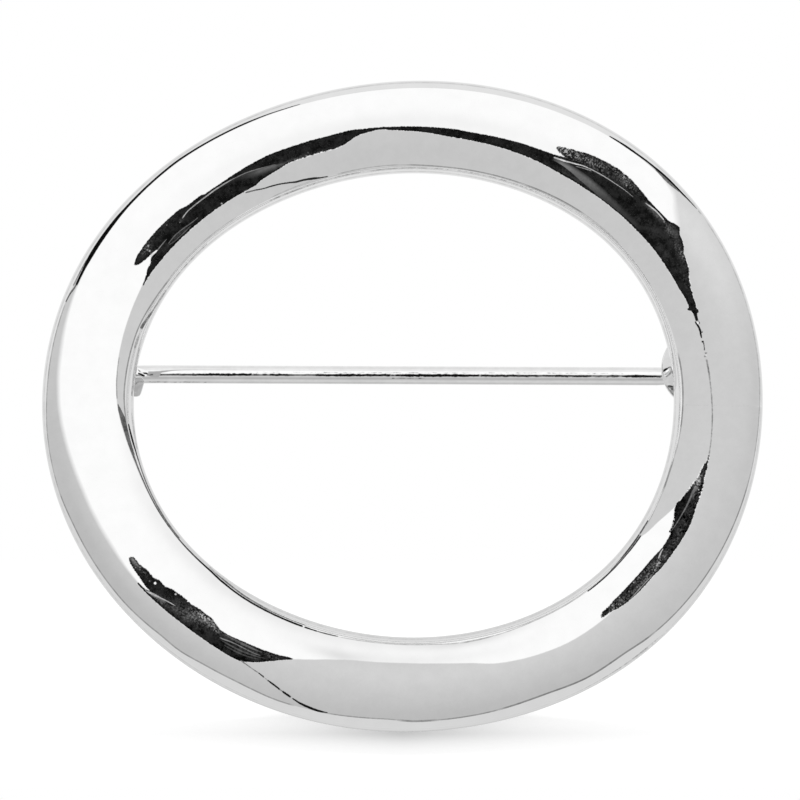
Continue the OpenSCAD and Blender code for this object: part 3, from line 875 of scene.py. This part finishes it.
# Light streaks over the dark cards. Columns as for the lines
STREAKS = (
    (205, ((51.5, 0.055, 0.014), (52.5, 0.047, 0.02), (54.7, -0.009, 0.026), (56.5, -0.048, 0.032),
           (58.8, -0.073, 0.03))),
    (175, ((41.9, 0.107, 0.006), (44.1, 0.104, 0.01), (45.7, 0.092, 0.014), (48.1, 0.082, 0.018),
           (50.4, 0.067, 0.02), (52, 0.053, 0.02))),
    (150, ((51, 0.033, 0.012), (52.3, 0.007, 0.018), (54.2, -0.047, 0.014))),
    (118, ((117.5, -0.212, 0.012), (120, -0.168, 0.014), (124, -0.106, 0.02),
           (127.6, -0.088, 0.02))),
    (165, ((127, -0.088, 0.022), (130.3, -0.089, 0.03), (133.1, -0.101, 0.026),
           (137.3, -0.11, 0.024), (138.6, -0.132, 0.022), (139.5, -0.161, 0.02))),
    (110, ((136.8, -0.367, 0.014), (138.9, -0.361, 0.02), (140.5, -0.339, 0.024),
           (142.9, -0.323, 0.022), (145, -0.346, 0.02))),
    (92, ((139, -0.403, 0.012), (141.4, -0.415, 0.022), (143.7, -0.406, 0.022),
          (145.1, -0.368, 0.02))),
    (130, ((144.4, -0.248, 0.012), (146, -0.253, 0.02), (147.4, -0.261, 0.022))),
    (235, ((147.2, -0.261, 0.02), (148, -0.244, 0.04), (149.4, -0.224, 0.05))),
    (185, ((215.2, 0.354, 0.012), (216.6, 0.293, 0.05), (218.5, 0.219, 0.03),
           (219.9, 0.169, 0.024), (221.3, 0.132, 0.016))),
    (105, ((216.5, 0.323, 0.02), (218, 0.268, 0.05), (219.6, 0.218, 0.03))),
    (130, ((231.6, 0.117, 0.012), (232.4, 0.105, 0.028), (233.6, 0.08, 0.024),
           (235.5, 0.062, 0.018), (238.5, 0.063, 0.014), (240.5, 0.048, 0.01))),
    (84, ((232.2, 0.145, 0.014), (234, 0.145, 0.03), (236.5, 0.138, 0.03), (239.5, 0.1, 0.02),
          (241.5, 0.06, 0.01))),
    (76, ((233, 0.205, 0.014), (235.5, 0.204, 0.03), (238, 0.182, 0.024), (240.5, 0.13, 0.014))),
    (92, ((232, 0.005, 0.014), (234.5, -0.007, 0.03), (237.5, -0.015, 0.035),
          (240.5, -0.022, 0.02))),
    (20, ((233, 0.047, 0.012), (235, 0.037, 0.02), (237.5, 0.024, 0.02), (240, 0.01, 0.014))),
    (108, ((334.6, -0.33, 0.012), (336.4, -0.3, 0.02), (338, -0.283, 0.024),
           (340, -0.26, 0.03), (342, -0.243, 0.04), (343.6, -0.235, 0.05))),
    (120, ((343, -0.235, 0.03), (344, -0.21, 0.08), (344.6, -0.16, 0.05))),
    (140, ((319.5, -0.113, 0.016), (321.3, -0.12, 0.024), (323.6, -0.128, 0.022),
           (325.8, -0.114, 0.016))),
    (185, ((328.9, -0.235, 0.014), (329.5, -0.253, 0.034), (330.3, -0.27, 0.026),
           (331.1, -0.278, 0.014))),
    (195, ((35, 0.225, 0.016), (36, 0.231, 0.026), (37.2, 0.23, 0.028), (38.3, 0.214, 0.026),
           (39.7, 0.19, 0.018))),
    (14, ((33.6, 0.32, 0.02), (34.8, 0.277, 0.032), (36.5, 0.268, 0.03), (38.3, 0.265, 0.028),
          (39.6, 0.28, 0.02))),
)
# Dots that a line's table can't give. Columns: angle, v, width in mm, grey
DOTS = ((15.66, -0.212, 0.13, 250), (9.4, -0.198, 0.1, 228), (44.3, 0.207, 0.11, 140),
        (45.6, 0.323, 0.1, 150), (34.9, 0.21, 0.09, 130), (110.4, -0.2, 0.09, 105),
        (131.3, -0.423, 0.11, 165), (140.3, -0.188, 0.1, 110), (142.5, -0.033, 0.09, 95),
        (147.8, -0.044, 0.12, 150), (148.4, -0.139, 0.12, 170), (148.5, -0.083, 0.12, 140),
        (148.6, -0.19, 0.09, 120), (214.6, 0.148, 0.1, 105), (215.6, 0.091, 0.16, 250),
        (219.8, -0.052, 0.13, 190), (211.1, 0.19, 0.09, 130), (322.3, -0.318, 0.11, 150),
        (323.6, -0.31, 0.1, 120), (326.4, -0.269, 0.09, 115), (330.7, -0.266, 0.08, 150),
        (344.1, -0.13, 0.1, 170), (343.6, -0.1, 0.08, 150), (318.2, -0.3, 0.1, 140),
        (316.1, -0.26, 0.12, 170), (315.6, -0.19, 0.1, 150), (349.6, -0.105, 0.12, 40),
        (350.2, -0.102, 0.1, 60), (350.65, -0.1, 0.1, 70), (322.1, -0.19, 0.1, 130),
        (325.4, -0.2, 0.1, 110), (320.4, -0.25, 0.1, 120), (334.2, -0.12, 0.1, 90),
        (339.1, -0.12, 0.1, 80), (341.5, -0.09, 0.09, 90))
# Smooth grey gleams over the dark cards. Columns: angle, low v, high v
GLEAM_A = ((36.5, -0.308, -0.208), (39.4, -0.33, -0.206), (43, -0.343, -0.192),
           (46.7, -0.343, -0.149), (49, -0.315, -0.118), (51.9, -0.265, -0.081),
           (55, -0.19, -0.055), (57, -0.155, -0.05), (58.8, -0.134, -0.055))
GLEAM_B = ((115.2, -0.285, -0.265), (116.5, -0.3, -0.235), (118, -0.325, -0.205),
           (120, -0.33, -0.17), (122, -0.32, -0.128), (124, -0.27, -0.1), (126, -0.21, -0.085),
           (129.5, -0.16, -0.082))

# Columns: name, table, grey, its soft changes, softness of the low and the high side and of
# the ends in mm
GLEAMS = (
    ("a", GLEAM_A, 45, ((55, -0.1, 12, 0.3, 68), (59, -0.1, 3, 0.1, 20)), (0.02, 0.22), 0.6),
    ("b", GLEAM_B, 50, ((118.5, -0.22, 4.5, 0.1, 62),), (0.35, 0.04), 0.7))

# How far each layer hangs from what mirrors it, in mm
GREY_REACH = 3.0
WHITE_REACH = 2.9
HALO_REACH = 2.8
DARK_REACH = 2.7
LINE_REACH = 2.6
GLEAM_REACH = 2.55
STREAK_REACH = 2.5
PIN_REACH = 0.66
PIN_PATCH_REACH = 0.62
PIN_LINE_REACH = 0.58
PLATE_REACH = 0.25
PLATE_LINE_REACH = 0.22

# Greys of the broad cards, before their soft changes
GREY_BASE = 204
WHITE_BASE = 252
# How soft the white card's high side is. Columns: angle, mm
WHITE_SOFT = ((36, 0.5), (41, 0.04), (155, 0.04), (170, 0.3), (205, 0.3), (215, 0.06))
# Greys inside and at the rim of the dark cards, and of the pale rims round them
DARK_GREY = 28
DARK_RIM = 13
HALO_GREY = 240
# By how many mm the dark cards and their pale rims are wider than the tables
DARK_WIDEN = 0.03
HALO_WIDEN = 0.05
# A soft line looks narrower and paler than its card: what is added in v, and taken in grey
HORIZON_WIDEN = 0.007
HORIZON_DARKEN = 12
# Fine grey lines at the band's side edges: their v, half width in v, and grey
EDGE_LINES = (-0.962, 0.957)
EDGE_HALF = 0.02
EDGE_GREY = 207


def speck_light(degrees, v, rim):
    return tone(spots(0, GRAIN)(degrees, v, rim))


def band_cards():
    degrees = turns(0, 360, 0.5)
    inner = smooth_rows(INNER_HORIZON, degrees)[:, 0]
    outer = smooth_rows(OUTER_HORIZON, degrees)[:, 0]
    card("grey", BAND, GREY_REACH, degrees, inner, outer, spots(GREY_BASE, GREY_SHADES),
         soft=0.01, fade=1e-6, rows=40, mottle=0.012)
    degrees = turns(WHITE[0][0], WHITE[-1][0], 0.4)
    low, high = smooth_rows(WHITE, degrees).T
    soft_high = np.interp(degrees, *zip(*WHITE_SOFT))
    card("white", BAND, WHITE_REACH, degrees, low, high, spots(WHITE_BASE, WHITE_SHADES),
         soft=(0.05, soft_high), fade=0.1, rows=40)
    for name, table, ragged, mottle in PATCHES:
        shaped("halo_" + name, BAND, HALO_REACH, table, HALO_GREY, widen=HALO_WIDEN)
        shaped("dark_" + name, BAND, DARK_REACH, table,
               spots(DARK_GREY, DARK_SHADES, rim_grey=DARK_RIM), widen=DARK_WIDEN, soft=0.025,
               fade=0.02, mottle=mottle, ragged=spots(ragged, RAGGED), grain=speck_light)
    for number, (grey, table) in enumerate(LINES):
        # Angles count on past 360, where a line passes the right end
        stroke(f"line_{number}", BAND, LINE_REACH,
               [(a + 360 * (a < table[0][0]), *rest) for a, *rest in table], grey,
               soft=0.02, fade=0.05, mottle=0.35, ragged=1)
    for number, (outer, start, end, shift, width, grey) in enumerate(HORIZON_LINES):
        degrees = turns(start, end)
        v = smooth_rows(OUTER_HORIZON if outer else INNER_HORIZON, degrees % 360)[:, 0] + shift
        half = width / 2 + HORIZON_WIDEN
        card(f"horizon_{number}", BAND, LINE_REACH, degrees, v - half, v + half,
             grey - HORIZON_DARKEN, soft=0.025, fade=0.5, rows=7, mottle=0.15)
    degrees = turns(0, 360)
    for number, v in enumerate(EDGE_LINES):
        middle = v + 0 * degrees
        card(f"edge_{number}", BAND, LINE_REACH, degrees, middle - EDGE_HALF,
             middle + EDGE_HALF, EDGE_GREY, soft=0.05, fade=1e-6, rows=7, mottle=0.08)
    for name, table, grey, shades, soft, fade in GLEAMS:
        shaped("gleam_" + name, BAND, GLEAM_REACH, table, spots(grey, shades), soft=soft,
               fade=fade, mottle=0.12)
    for number, (grey, table) in enumerate(STREAKS):
        stroke(f"streak_{number}", BAND, STREAK_REACH, table, grey, soft=0.02, fade=0.05,
               mottle=0.3, ragged=2)
    for number, (degrees, v, width, grey) in enumerate(DOTS):
        half = width / 2 / BAND.along_mm
        stroke(f"dot_{number}", BAND, STREAK_REACH,
               ((degrees - half, v, width / 3 / HALF_W), (degrees, v, width / HALF_W),
                (degrees + half, v, width / 3 / HALF_W)), grey, soft=0.02, fade=0.02)


# Cards over the pin. x is in mm, and u runs from -1 at its lower edge to +1 at its upper edge.

# The wire mirrors a grey front, a paler back and soft strips between them: a thin one by the
# lower edge, a broad one over it, the dark one at the crest, the white one and a faint one.
# Columns of the strips: u of the middle, half width, width of the soft edge, grey
PIN_SIDES = (207, 234)
PIN_STRIPS = ((-0.86, 0.06, 0.12, 185), (-0.38, 0.12, 0.2, 175), (-0.01, 0.1, 0.06, 130),
              (0.3, 0.15, 0.08, 254), (0.8, 0.1, 0.2, 220))
# A grey wedge and a white card at the pin's left end. Columns: x, low u, high u
PIN_WEDGE = ((-15.7, -0.1, 0.4), (-15.4, -0.3, 0.4), (-15.0, -0.32, 0.42), (-14.85, 0.14, 0.45),
             (-14.6, 0.24, 0.49), (-14.2, 0.35, 0.53), (-13.6, 0.44, 0.56), (-12.7, 0.5, 0.58),
             (-11, 0.54, 0.6), (-9, 0.57, 0.61))
PIN_END = ((-16.7, 0.1, 0.9), (-16.3, 0, 0.8), (-16.0, -0.1, 0.62), (-15.8, -0.2, 0.5),
           (-15.66, -0.1, 0.2))
# Lines on the pin. Columns: x, u, width in u. The first entry is their grey.
PIN_LINES = (
    (70, ((-14.9, 0, 0.14), (-14.3, 0, 0.17), (-13.6, 0.02, 0.21), (-12.7, 0.03, 0.25))),
    (18, ((-13, 0.03, 0.21), (-12, 0.03, 0.28), (-10.5, 0.03, 0.31), (-9.25, 0.03, 0.28))),
    (90, ((-9.2, 0.03, 0.17), (-8.9, 0.04, 0.2), (-8.75, 0.04, 0.14))),
    (60, ((-8.65, 0.02, 0.14), (-8.45, 0.02, 0.25), (-8.3, 0.02, 0.17))),
    (25, ((-8.2, 0.02, 0.17), (-7.9, 0.02, 0.28), (-7.2, 0.02, 0.28), (-6.9, 0.01, 0.22))),
    (105, ((-7, 0.01, 0.2), (-6.3, 0, 0.18), (-5.2, 0.01, 0.2))),
    (18, ((-5.4, 0.01, 0.22), (-4.6, 0.01, 0.28), (-3, 0.01, 0.31), (-0.75, 0.01, 0.28))),
    (90, ((-0.75, 0, 0.14), (-0.6, 0, 0.2), (-0.5, 0, 0.14))),
    (14, ((-0.5, 0, 0.28), (1, 0, 0.34), (3, 0, 0.34), (4.7, -0.01, 0.28))),
    (40, ((4.75, -0.01, 0.2), (5.1, -0.01, 0.28), (6.5, -0.01, 0.28), (8.3, -0.02, 0.25))),
    (75, ((8.25, -0.02, 0.2), (8.6, -0.02, 0.22), (8.9, -0.02, 0.2))),
    (40, ((8.8, -0.02, 0.22), (10, -0.02, 0.25), (11.6, -0.03, 0.22))),
    (105, ((11.6, -0.03, 0.2), (12.1, -0.03, 0.21), (12.6, -0.03, 0.2))),
    (60, ((12.5, -0.03, 0.2), (12.9, -0.02, 0.28), (13.3, -0.03, 0.17))),
    (16, ((13.4, -0.03, 0.2), (13.9, -0.03, 0.28), (14.8, -0.03, 0.34), (15.3, -0.05, 0.25),
          (15.9, -0.08, 0.2))),
    (110, ((-0.7, -0.33, 0.05), (0.2, -0.33, 0.09), (1.4, -0.33, 0.05))),
    (150, ((-15.6, -0.88, 0.06), (-14.6, -0.88, 0.06), (-12, -0.88, 0.04))),
    (226, ((-9, 0.3, 0.03), (0, 0.28, 0.05), (8, 0.3, 0.05), (14, 0.24, 0.04))),
    (12, ((-16.28, 0.16, 0.14), (-16.05, 0.02, 0.25), (-15.82, -0.18, 0.16))),
    (12, ((-16.02, 0.27, 0.12), (-15.8, 0.14, 0.25), (-15.6, 0.05, 0.16))),
    (60, ((-15.58, 0.02, 0.14), (-15.45, 0, 0.2), (-15.31, -0.02, 0.1))),
    (90, ((-16.3, 0.68, 0.14), (-16.2, 0.44, 0.17), (-16.0, 0.26, 0.12))),
)


def striped(place, sides, strips):
    """Two plain greys that meet at 0, with soft strips laid over them one after the other."""
    grey = np.where(place < 0, *sides)
    for middle, half, soft, strip_grey in strips:
        share = np.clip((half + soft / 2 - abs(place - middle)) / soft, 0, 1)
        grey = grey + (strip_grey - grey) * share
    return grey


def pin_grey(x, u, rim):
    return striped(u, PIN_SIDES, PIN_STRIPS)


def pin_cards():
    along = turns(-16.9, TAPER_X, 0.1)
    card("pin", PIN, PIN_REACH, along, 0 * along - 0.995, 0 * along + 0.995, pin_grey,
         soft=1e-6, fade=1e-6, rows=160, mottle=0.035)
    shaped("pin_wedge", PIN, PIN_PATCH_REACH, PIN_WEDGE, 172, soft=0.04, fade=0.1, mottle=0.05)
    shaped("pin_end", PIN, PIN_PATCH_REACH, PIN_END, 250, soft=0.04, fade=0.03)
    for number, (grey, table) in enumerate(PIN_LINES):
        stroke(f"pin_line_{number}", PIN, PIN_LINE_REACH, table, grey, soft=0.05, fade=0.05,
               mottle=0.5, ragged=4)


# What the fronts of the tongue and the pad mirror. Columns: x, low y, high y in mm
TONGUE_CARD = ((-17.2, 0.3, 2.2), (-16.5, 0.3, 2.2), (-15.6, 0.3, 2.2))
PAD_UPPER = ((15.6, 2.28, 4.4), (15.9, 2.3, 4.4), (16.3, 2.4, 4.4), (16.9, 2.42, 4.4))
PAD_MIDDLE = ((15.6, 1.2, 2.3), (16.2, 1.2, 2.4), (16.9, 1.2, 2.45))
# The pad's lower part, under the pin, mirrors a dark card: painted shade of the pin
PAD_LOWER = ((15.6, 0.2, 1.26), (16.2, 0.2, 1.27), (16.9, 0.2, 1.2))
# Columns: name, table, grey, mottling. The dark grey of pad_lower is painted shade, where the pin
# shades the pad
PLATE_CARDS = (("tongue", TONGUE_CARD, 172, 0.08), ("pad_upper", PAD_UPPER, 215, 0.03),
               ("pad_middle", PAD_MIDDLE, 202, 0.05), ("pad_lower", PAD_LOWER, 135, 0.5))
# Lines on them. Columns: grey, path with the columns x and y, width in mm
PLATE_LINES = (
    (16, ((15.92, 2.12), (16.02, 2.22), (16.12, 2.28), (16.24, 2.34)), 0.14),
    (100, ((16.2, 2.33), (16.27, 2.38), (16.36, 2.42)), 0.07),
    (150, ((16.3, 2.42), (16.42, 2.4), (16.49, 2.3), (16.46, 2.16), (16.38, 2.04),
           (16.27, 1.92), (16.12, 1.82)), 0.13),
    (242, ((16, 2.03), (16.1, 2.1), (16.22, 2.2), (16.3, 2.26)), 0.1),
    (178, ((16.06, 1.92), (16.18, 2.02), (16.32, 2.13)), 0.1),
    (235, ((16.02, 1.86), (16.12, 1.92), (16.2, 1.98)), 0.07),
    (160, ((15.86, 2.4), (15.9, 2.32), (15.95, 2.24)), 0.05),
    (165, ((15.9, 2.04), (15.93, 1.94), (15.95, 1.84)), 0.05),
    (70, ((16.2, 1.24), (16.32, 1.25), (16.45, 1.23), (16.58, 1.2)), 0.12),
    (80, ((16.44, 1.1), (16.53, 1.06), (16.6, 1.0)), 0.14),
    (85, ((16.23, 1.2), (16.34, 1.02), (16.45, 0.8), (16.6, 0.55)), 0.07),
    (195, ((16.33, 1.12), (16.36, 1.06), (16.4, 1.0)), 0.08),
    (120, ((-16.5, 1.55), (-16.38, 1.7), (-16.2, 1.8), (-16.0, 1.78), (-15.84, 1.7)), 0.08),
    (140, ((-16.4, 1.36), (-16.25, 1.5), (-16.02, 1.52), (-15.84, 1.4)), 0.07),
    (135, ((-16.42, 1.7), (-16.52, 1.4), (-16.6, 1.0), (-16.62, 0.75)), 0.08),
    (140, ((-16.5, 0.66), (-16.35, 0.62), (-16.18, 0.64)), 0.08),
    (196, ((-16.36, 1.1), (-16.38, 0.9), (-16.36, 0.75)), 0.05),
)


def plate_cards():
    for name, table, grey, mottle in PLATE_CARDS:
        shaped(name, PLATE, PLATE_REACH, table, grey, soft=0.01, fade=0.01, mottle=mottle)
    # A line is a strip along its path, thinner at its ends and soft at both sides
    steps = 24
    spread = np.array((-1.15, -0.75, 0.75, 1.15))
    for number, (grey, path, width) in enumerate(PLATE_LINES):
        t = np.linspace(0, len(path) - 1, steps)
        path = smooth_rows(np.column_stack([np.arange(len(path)), path]), t)
        way = np.gradient(path, axis=0)
        side = np.stack([-way[:, 1], way[:, 0]], -1) / np.linalg.norm(way, axis=1)[:, None]
        half = width / 2 * np.sin(np.linspace(0.25, math.pi - 0.25, steps)) ** 0.4
        xy = path[:, None] + side[:, None] * (half[:, None] * spread)[..., None]
        points, place = mirrored(PLATE, xy[..., 0], xy[..., 1], PLATE_LINE_REACH)
        thing = mesh_object(f"card_plate_line_{number}", points.reshape(-1, 3),
                            grid_faces(steps, 4),
                            attributes=[("place", place.reshape(-1, 3))])
        shape = (steps, 4)
        prop(thing, tone(np.full(shape, float(grey))), np.broadcast_to((0, 1, 1, 0), shape),
             mottle=0.3)


# Mirrored table and studio walls: height of the table over the floor and radius of the walls
# in mm, and how much wider than high the table's rings are
SHEEN_Z = 0.004
DOME_R = 140
SHEEN_STRETCH = 1.13


def flipped_grid(name, points, shape):
    """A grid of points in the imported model's frame, in mm, that faces the other way and is
    closed along its rows."""
    mesh = bpy.data.meshes.new(name)
    faces = [f[::-1] for f in grid_faces(*shape, False, True)]
    mesh.from_pydata((points * MM).tolist(), [], faces)
    return linked(name, mesh)


# The table in reflections: its grey, and how much darker it is in front of the brooch, and
# the painted shadow at the band's lower rim and painted shade under the band
TABLE_GREY = 226
FRONT_DARK = 13
RIM_DARK = 30
UNDER_DARK = 85
# Half width and half height in mm of the oval where the rim's painted shadow is, and of the
# band's line, and how far the two painted shadows reach
RIM_OVAL = (22, 19.7)
UNDER_OVAL = (19.2, 17)
RIM_SPREAD = 1.1
UNDER_SPREAD = 2.2


def table_grey(x, y):
    """The table as reflections show it, at places in mm: greyer in front of the brooch, darkest
    with a painted shadow where the band's lowest edge touches it, and with painted shade under
    the band."""
    # Painted shadow along the band's lower rim, and painted shade under the band
    rim = np.hypot(x / RIM_OVAL[0], y / RIM_OVAL[1]) - 0.97
    rim = np.exp(-(rim * 20 / RIM_SPREAD) ** 2) * np.clip(-y / 12 - 0.6, 0, 1)
    under = np.hypot(x / UNDER_OVAL[0], (y + 0.3) / UNDER_OVAL[1]) - 1
    under = np.exp(-(under * 18 / UNDER_SPREAD) ** 4)
    front = 1 / (1 + np.exp((y + 2) / 3))
    return TABLE_GREY - FRONT_DARK * front - RIM_DARK * rim - UNDER_DARK * under


def sheen():
    """The table's top in reflections, as oval rings round the brooch, closest under the band."""
    radii = np.concatenate([(0.01, 3, 6, 9), np.linspace(10, 26, 81),
                            np.geomspace(28, DOME_R, 12)])
    r, a = np.meshgrid(radii, np.linspace(0, 2 * math.pi, 180, endpoint=False), indexing="ij")
    x, y = SHEEN_STRETCH * r * np.cos(a), r * np.sin(a)
    points = np.column_stack([x.ravel(), y.ravel(), np.full(x.size, SHEEN_Z)])
    prop(flipped_grid("sheen", points, x.shape), tone(table_grey(x, y)))


# Light over the pin, by the angle from the camera's axis towards the band's upper edge: a grey
# front, a paler back, and strips for the darker front screen, the white back screen, the dark
# gap round the camera and the dark edge in front of it.
# Columns of the strips: angle of the middle, half width, width of the soft edge, grey
CEILING_SIDES = (208, 235)
CEILING_STRIPS = ((-30, 26, 30, 165), (50, 28, 14, 253), (2, 12, 12, 40), (-39, 6, 8, 125))
# The walls look as the table does so many mm away. Height at which they end, in degrees, and
# the soft step there
WALL_PLACE = 60
LOW_WALL = 24
WALL_STEP = 6
# Below the table: mean grey, its change, the number of light panels round the brooch, and the
# soft step under the table in degrees
CELLAR_GREY = 150
CELLAR_CHANGE = 75
CELLAR_PANELS = 5
CELLAR_STEP = 4


def dome():
    """Studio walls and ceiling as the pin and the findings mirror them, and what the open pin
    mirrors below the table."""
    azimuth = np.linspace(0, 2 * math.pi, 180, endpoint=False)
    height = np.linspace(-0.499 * math.pi, 0.499 * math.pi, 180)
    el, az = np.meshgrid(height, azimuth, indexing="ij")
    way = np.stack([np.cos(el) * np.cos(az), np.cos(el) * np.sin(az), np.sin(el)], -1)
    upward = way[..., 1] * math.cos(TILT) + way[..., 2] * math.sin(TILT)
    facing = -way[..., 1] * math.sin(TILT) + way[..., 2] * math.cos(TILT)
    lean = np.degrees(np.arctan2(upward, facing))
    ceiling = striped(lean, CEILING_SIDES, CEILING_STRIPS)
    wall = table_grey(WALL_PLACE * way[..., 0], WALL_PLACE * way[..., 1])
    share = np.clip((np.degrees(el) - LOW_WALL) / WALL_STEP, 0, 1)
    cellar = CELLAR_GREY + CELLAR_CHANGE * np.cos(CELLAR_PANELS * az)
    wall = wall + (cellar - wall) * np.clip(-np.degrees(el) / CELLAR_STEP, 0, 1)
    prop(flipped_grid("dome", way.reshape(-1, 3) * DOME_R, el.shape),
         tone(wall + (ceiling - wall) * share))


def silver_material(name, colour, roughness, wave, grain, scale, stretch):
    """Polished silver. wave and grain are the heights in mm of the slow unevenness that
    polishing leaves, and of the finest marks. scale is the number of marks per mm, and
    stretch draws them out along an axis."""
    material, tree, output = new_material(name)
    shader = tree.nodes.new("ShaderNodeBsdfPrincipled")
    shader.inputs["Metallic"].default_value = 1
    spot = tree.nodes.new("ShaderNodeVectorMath")
    spot.operation = "SCALE"
    spot.inputs["Scale"].default_value = 1 / MM
    link(tree, tree.nodes.new("ShaderNodeTexCoord").outputs["Object"], spot.inputs[0])
    spot = spot.outputs["Vector"]
    # Faint clouds in the colour
    cloud = noise_node(tree, spot, 0.9, 4, 0.6)
    ramp = tree.nodes.new("ShaderNodeMixRGB")
    ramp.inputs["Color1"].default_value = (*(c * 0.985 for c in colour), 1)
    ramp.inputs["Color2"].default_value = (*(min(1, c * 1.012) for c in colour), 1)
    link(tree, range_node(tree, cloud, 0.35, 0.65), ramp.inputs["Fac"])
    link(tree, ramp.outputs[0], shader.inputs["Base Color"])
    # Haze: the roughness goes from 0.7 to 1.3 times what is asked for
    haze = range_node(tree, noise_node(tree, spot, scale / 3, 4, 0.65, stretch), 0.35, 0.7)
    rough = math_node(tree, "MULTIPLY_ADD", haze, roughness * 0.6)
    rough.node.inputs[2].default_value = roughness * 0.7
    link(tree, rough, shader.inputs["Roughness"])
    slow = bump_node(tree, noise_node(tree, spot, 0.4, 2, 0.4), wave, None)
    fine = bump_node(tree, noise_node(tree, spot, scale, 3, 0.65, stretch), grain, slow)
    link(tree, fine, shader.inputs["Normal"])
    link(tree, shader.outputs[0], output.inputs["Surface"])
    return material


# Floor: half its side in metres, and its light on top of the studio's. The soft contact shadow
# where the band's lower rim rests is partly real, on the floor's diffuse part, and partly a
# painted shadow taken out of the floor's glow: its place and its spread along X and Y in mm, how
# fast it fades there, and how much light its rim and its heart take away
FLOOR_HALF = 3.0
FLOOR_GLOW = 0.75
SHADOW_Y = -19.685
SHADOW_SPREAD = (8, 0.7)
SHADOW_POWERS = (1.1, 1.5)
SHADOW_RIM = 0.19
SHADOW_HEART = 0.345
# Where the floor goes from white to clear behind and before the shadow. Columns: Y of the
# white end, Y of the clear end
CLEARINGS = ((-13, -9), (-21.4, -23))


def spread_node(tree, way, spread, power):
    """How far off a place is along one way, in spreads of so many mm, raised to a power."""
    share = math_node(tree, "ABSOLUTE", math_node(tree, "DIVIDE", way, spread * MM))
    return math_node(tree, "POWER", share, power)


def floor():
    """A white table, with a painted contact shadow in its glow. It is clear from below, and away
    from the contact shadow, because the open pin reaches below it."""
    corners = [(-1, -1, 0), (1, -1, 0), (1, 1, 0), (-1, 1, 0)]
    mesh = bpy.data.meshes.new("floor")
    mesh.from_pydata([[FLOOR_HALF * c for c in corner] for corner in corners], [],
                     [(0, 1, 2, 3)])
    piece = linked("floor", mesh)
    material, tree, output = new_material("floor")
    paper = tree.nodes.new("ShaderNodeBsdfDiffuse")
    paper.inputs["Color"].default_value = (0.5, 0.5, 0.5, 1)
    glow = tree.nodes.new("ShaderNodeEmission")
    spot = tree.nodes.new("ShaderNodeSeparateXYZ")
    link(tree, tree.nodes.new("ShaderNodeTexCoord").outputs["Object"], spot.inputs[0])
    # Painted contact shadow: the floor's glow is dimmed round a fixed place at the band's lower rim
    off = math_node(tree, "ADD", spot.outputs["Y"], -SHADOW_Y * MM)
    ways = zip((spot.outputs["X"], off), SHADOW_SPREAD, SHADOW_POWERS)
    far = math_node(tree, "ADD", *(spread_node(tree, *way) for way in ways))
    shade = math_node(tree, "POWER", math.e, math_node(tree, "MULTIPLY", far, -1))
    # The painted shadow's rim takes away what lies above white, and its heart the rest
    rim = math_node(tree, "MULTIPLY", shade, 14, clamp=True)
    shade = math_node(tree, "ADD", math_node(tree, "MULTIPLY", shade, SHADOW_HEART),
                      math_node(tree, "MULTIPLY", rim, SHADOW_RIM))
    link(tree, math_node(tree, "SUBTRACT", FLOOR_GLOW, shade), glow.inputs["Strength"])
    lit = tree.nodes.new("ShaderNodeAddShader")
    link(tree, paper.outputs[0], lit.inputs[0])
    link(tree, glow.outputs[0], lit.inputs[1])
    clear = tree.nodes.new("ShaderNodeBsdfTransparent")
    mix = tree.nodes.new("ShaderNodeMixShader")
    clearness = tree.nodes.new("ShaderNodeNewGeometry").outputs["Backfacing"]
    for white_end, clear_end in CLEARINGS:
        away = range_node(tree, spot.outputs["Y"], white_end * MM, clear_end * MM)
        clearness = math_node(tree, "MAXIMUM", clearness, away)
    link(tree, clearness, mix.inputs["Fac"])
    link(tree, lit.outputs[0], mix.inputs[1])
    link(tree, clear.outputs[0], mix.inputs[2])
    link(tree, mix.outputs[0], output.inputs["Surface"])
    mesh.materials.append(material)


def world():
    sky = bpy.data.worlds.new("studio")
    bpy.context.scene.world = sky
    sky.use_nodes = True
    sky.node_tree.nodes["Background"].inputs["Color"].default_value = (1, 1, 1, 1)
    sky.node_tree.nodes["Background"].inputs["Strength"].default_value = 1


def camera():
    """A camera straight in front of the band, far away, as the photo's was."""
    data = bpy.data.cameras.new("camera")
    data.sensor_width = SENSOR_W
    data.lens = SENSOR_W * CAMERA_DISTANCE / VIEW_WIDTH
    data.clip_start = 0.01
    data.clip_end = 10
    eye = linked("camera", data)
    eye.location = lie_down(camera_point())
    eye.rotation_euler = (TILT, 0, 0)
    bpy.context.scene.camera = eye


STUDIO_CARD = card_material()
# Columns: name, colour, roughness, wave, grain, marks per mm, their stretch
SILVERS = {m[0]: silver_material(*m) for m in (
    ("silver", SILVER, 0.03, 0.006, 0.0008, 7, (1, 1, 1)),
    ("findings", SILVER, 0.05, 0.004, 0.001, 9, (1, 1, 1)),
    ("solder", (0.9, 0.895, 0.885), 0.3, 0.02, 0.006, 12, (1, 1, 1)),
    ("rivet", (0.93, 0.925, 0.915), 0.1, 0.002, 0.0015, 14, (1, 0.2, 1)),
    ("wire", SILVER, 0.035, 0.002, 0.0006, 9, (0.06, 1, 1)))}
# Columns: pieces, the body they ride on, their material slot, the node the first one replaces,
# their silver
PARTS = (
    ([band()], "ring", "silver", "ring", "silver"),
    ([*joint(), *catch()], "ring", "silver", None, "findings"),
    ([rivet()], "ring", "rivet", "hinge_rivet", "rivet"),
    (pin_pieces(), "pin", "pin_wire", "pin", "wire"),
)
for pieces, body, slot, node, finish in PARTS:
    if node:
        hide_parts(node)
    for piece in pieces:
        kind = "solder" if "solder" in piece.name else finish
        piece.data.materials.append(SILVERS[kind])
        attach(piece, body)
band_cards()
pin_cards()
plate_cards()
sheen()
dome()
floor()
world()
camera()
bpy.context.scene.view_settings.view_transform = "Standard"
# Light passes many cards, and bounces to and fro inside the hook
bounces = bpy.context.scene.cycles
bounces.max_bounces = 24
bounces.glossy_bounces = 24
bounces.transparent_max_bounces = 64
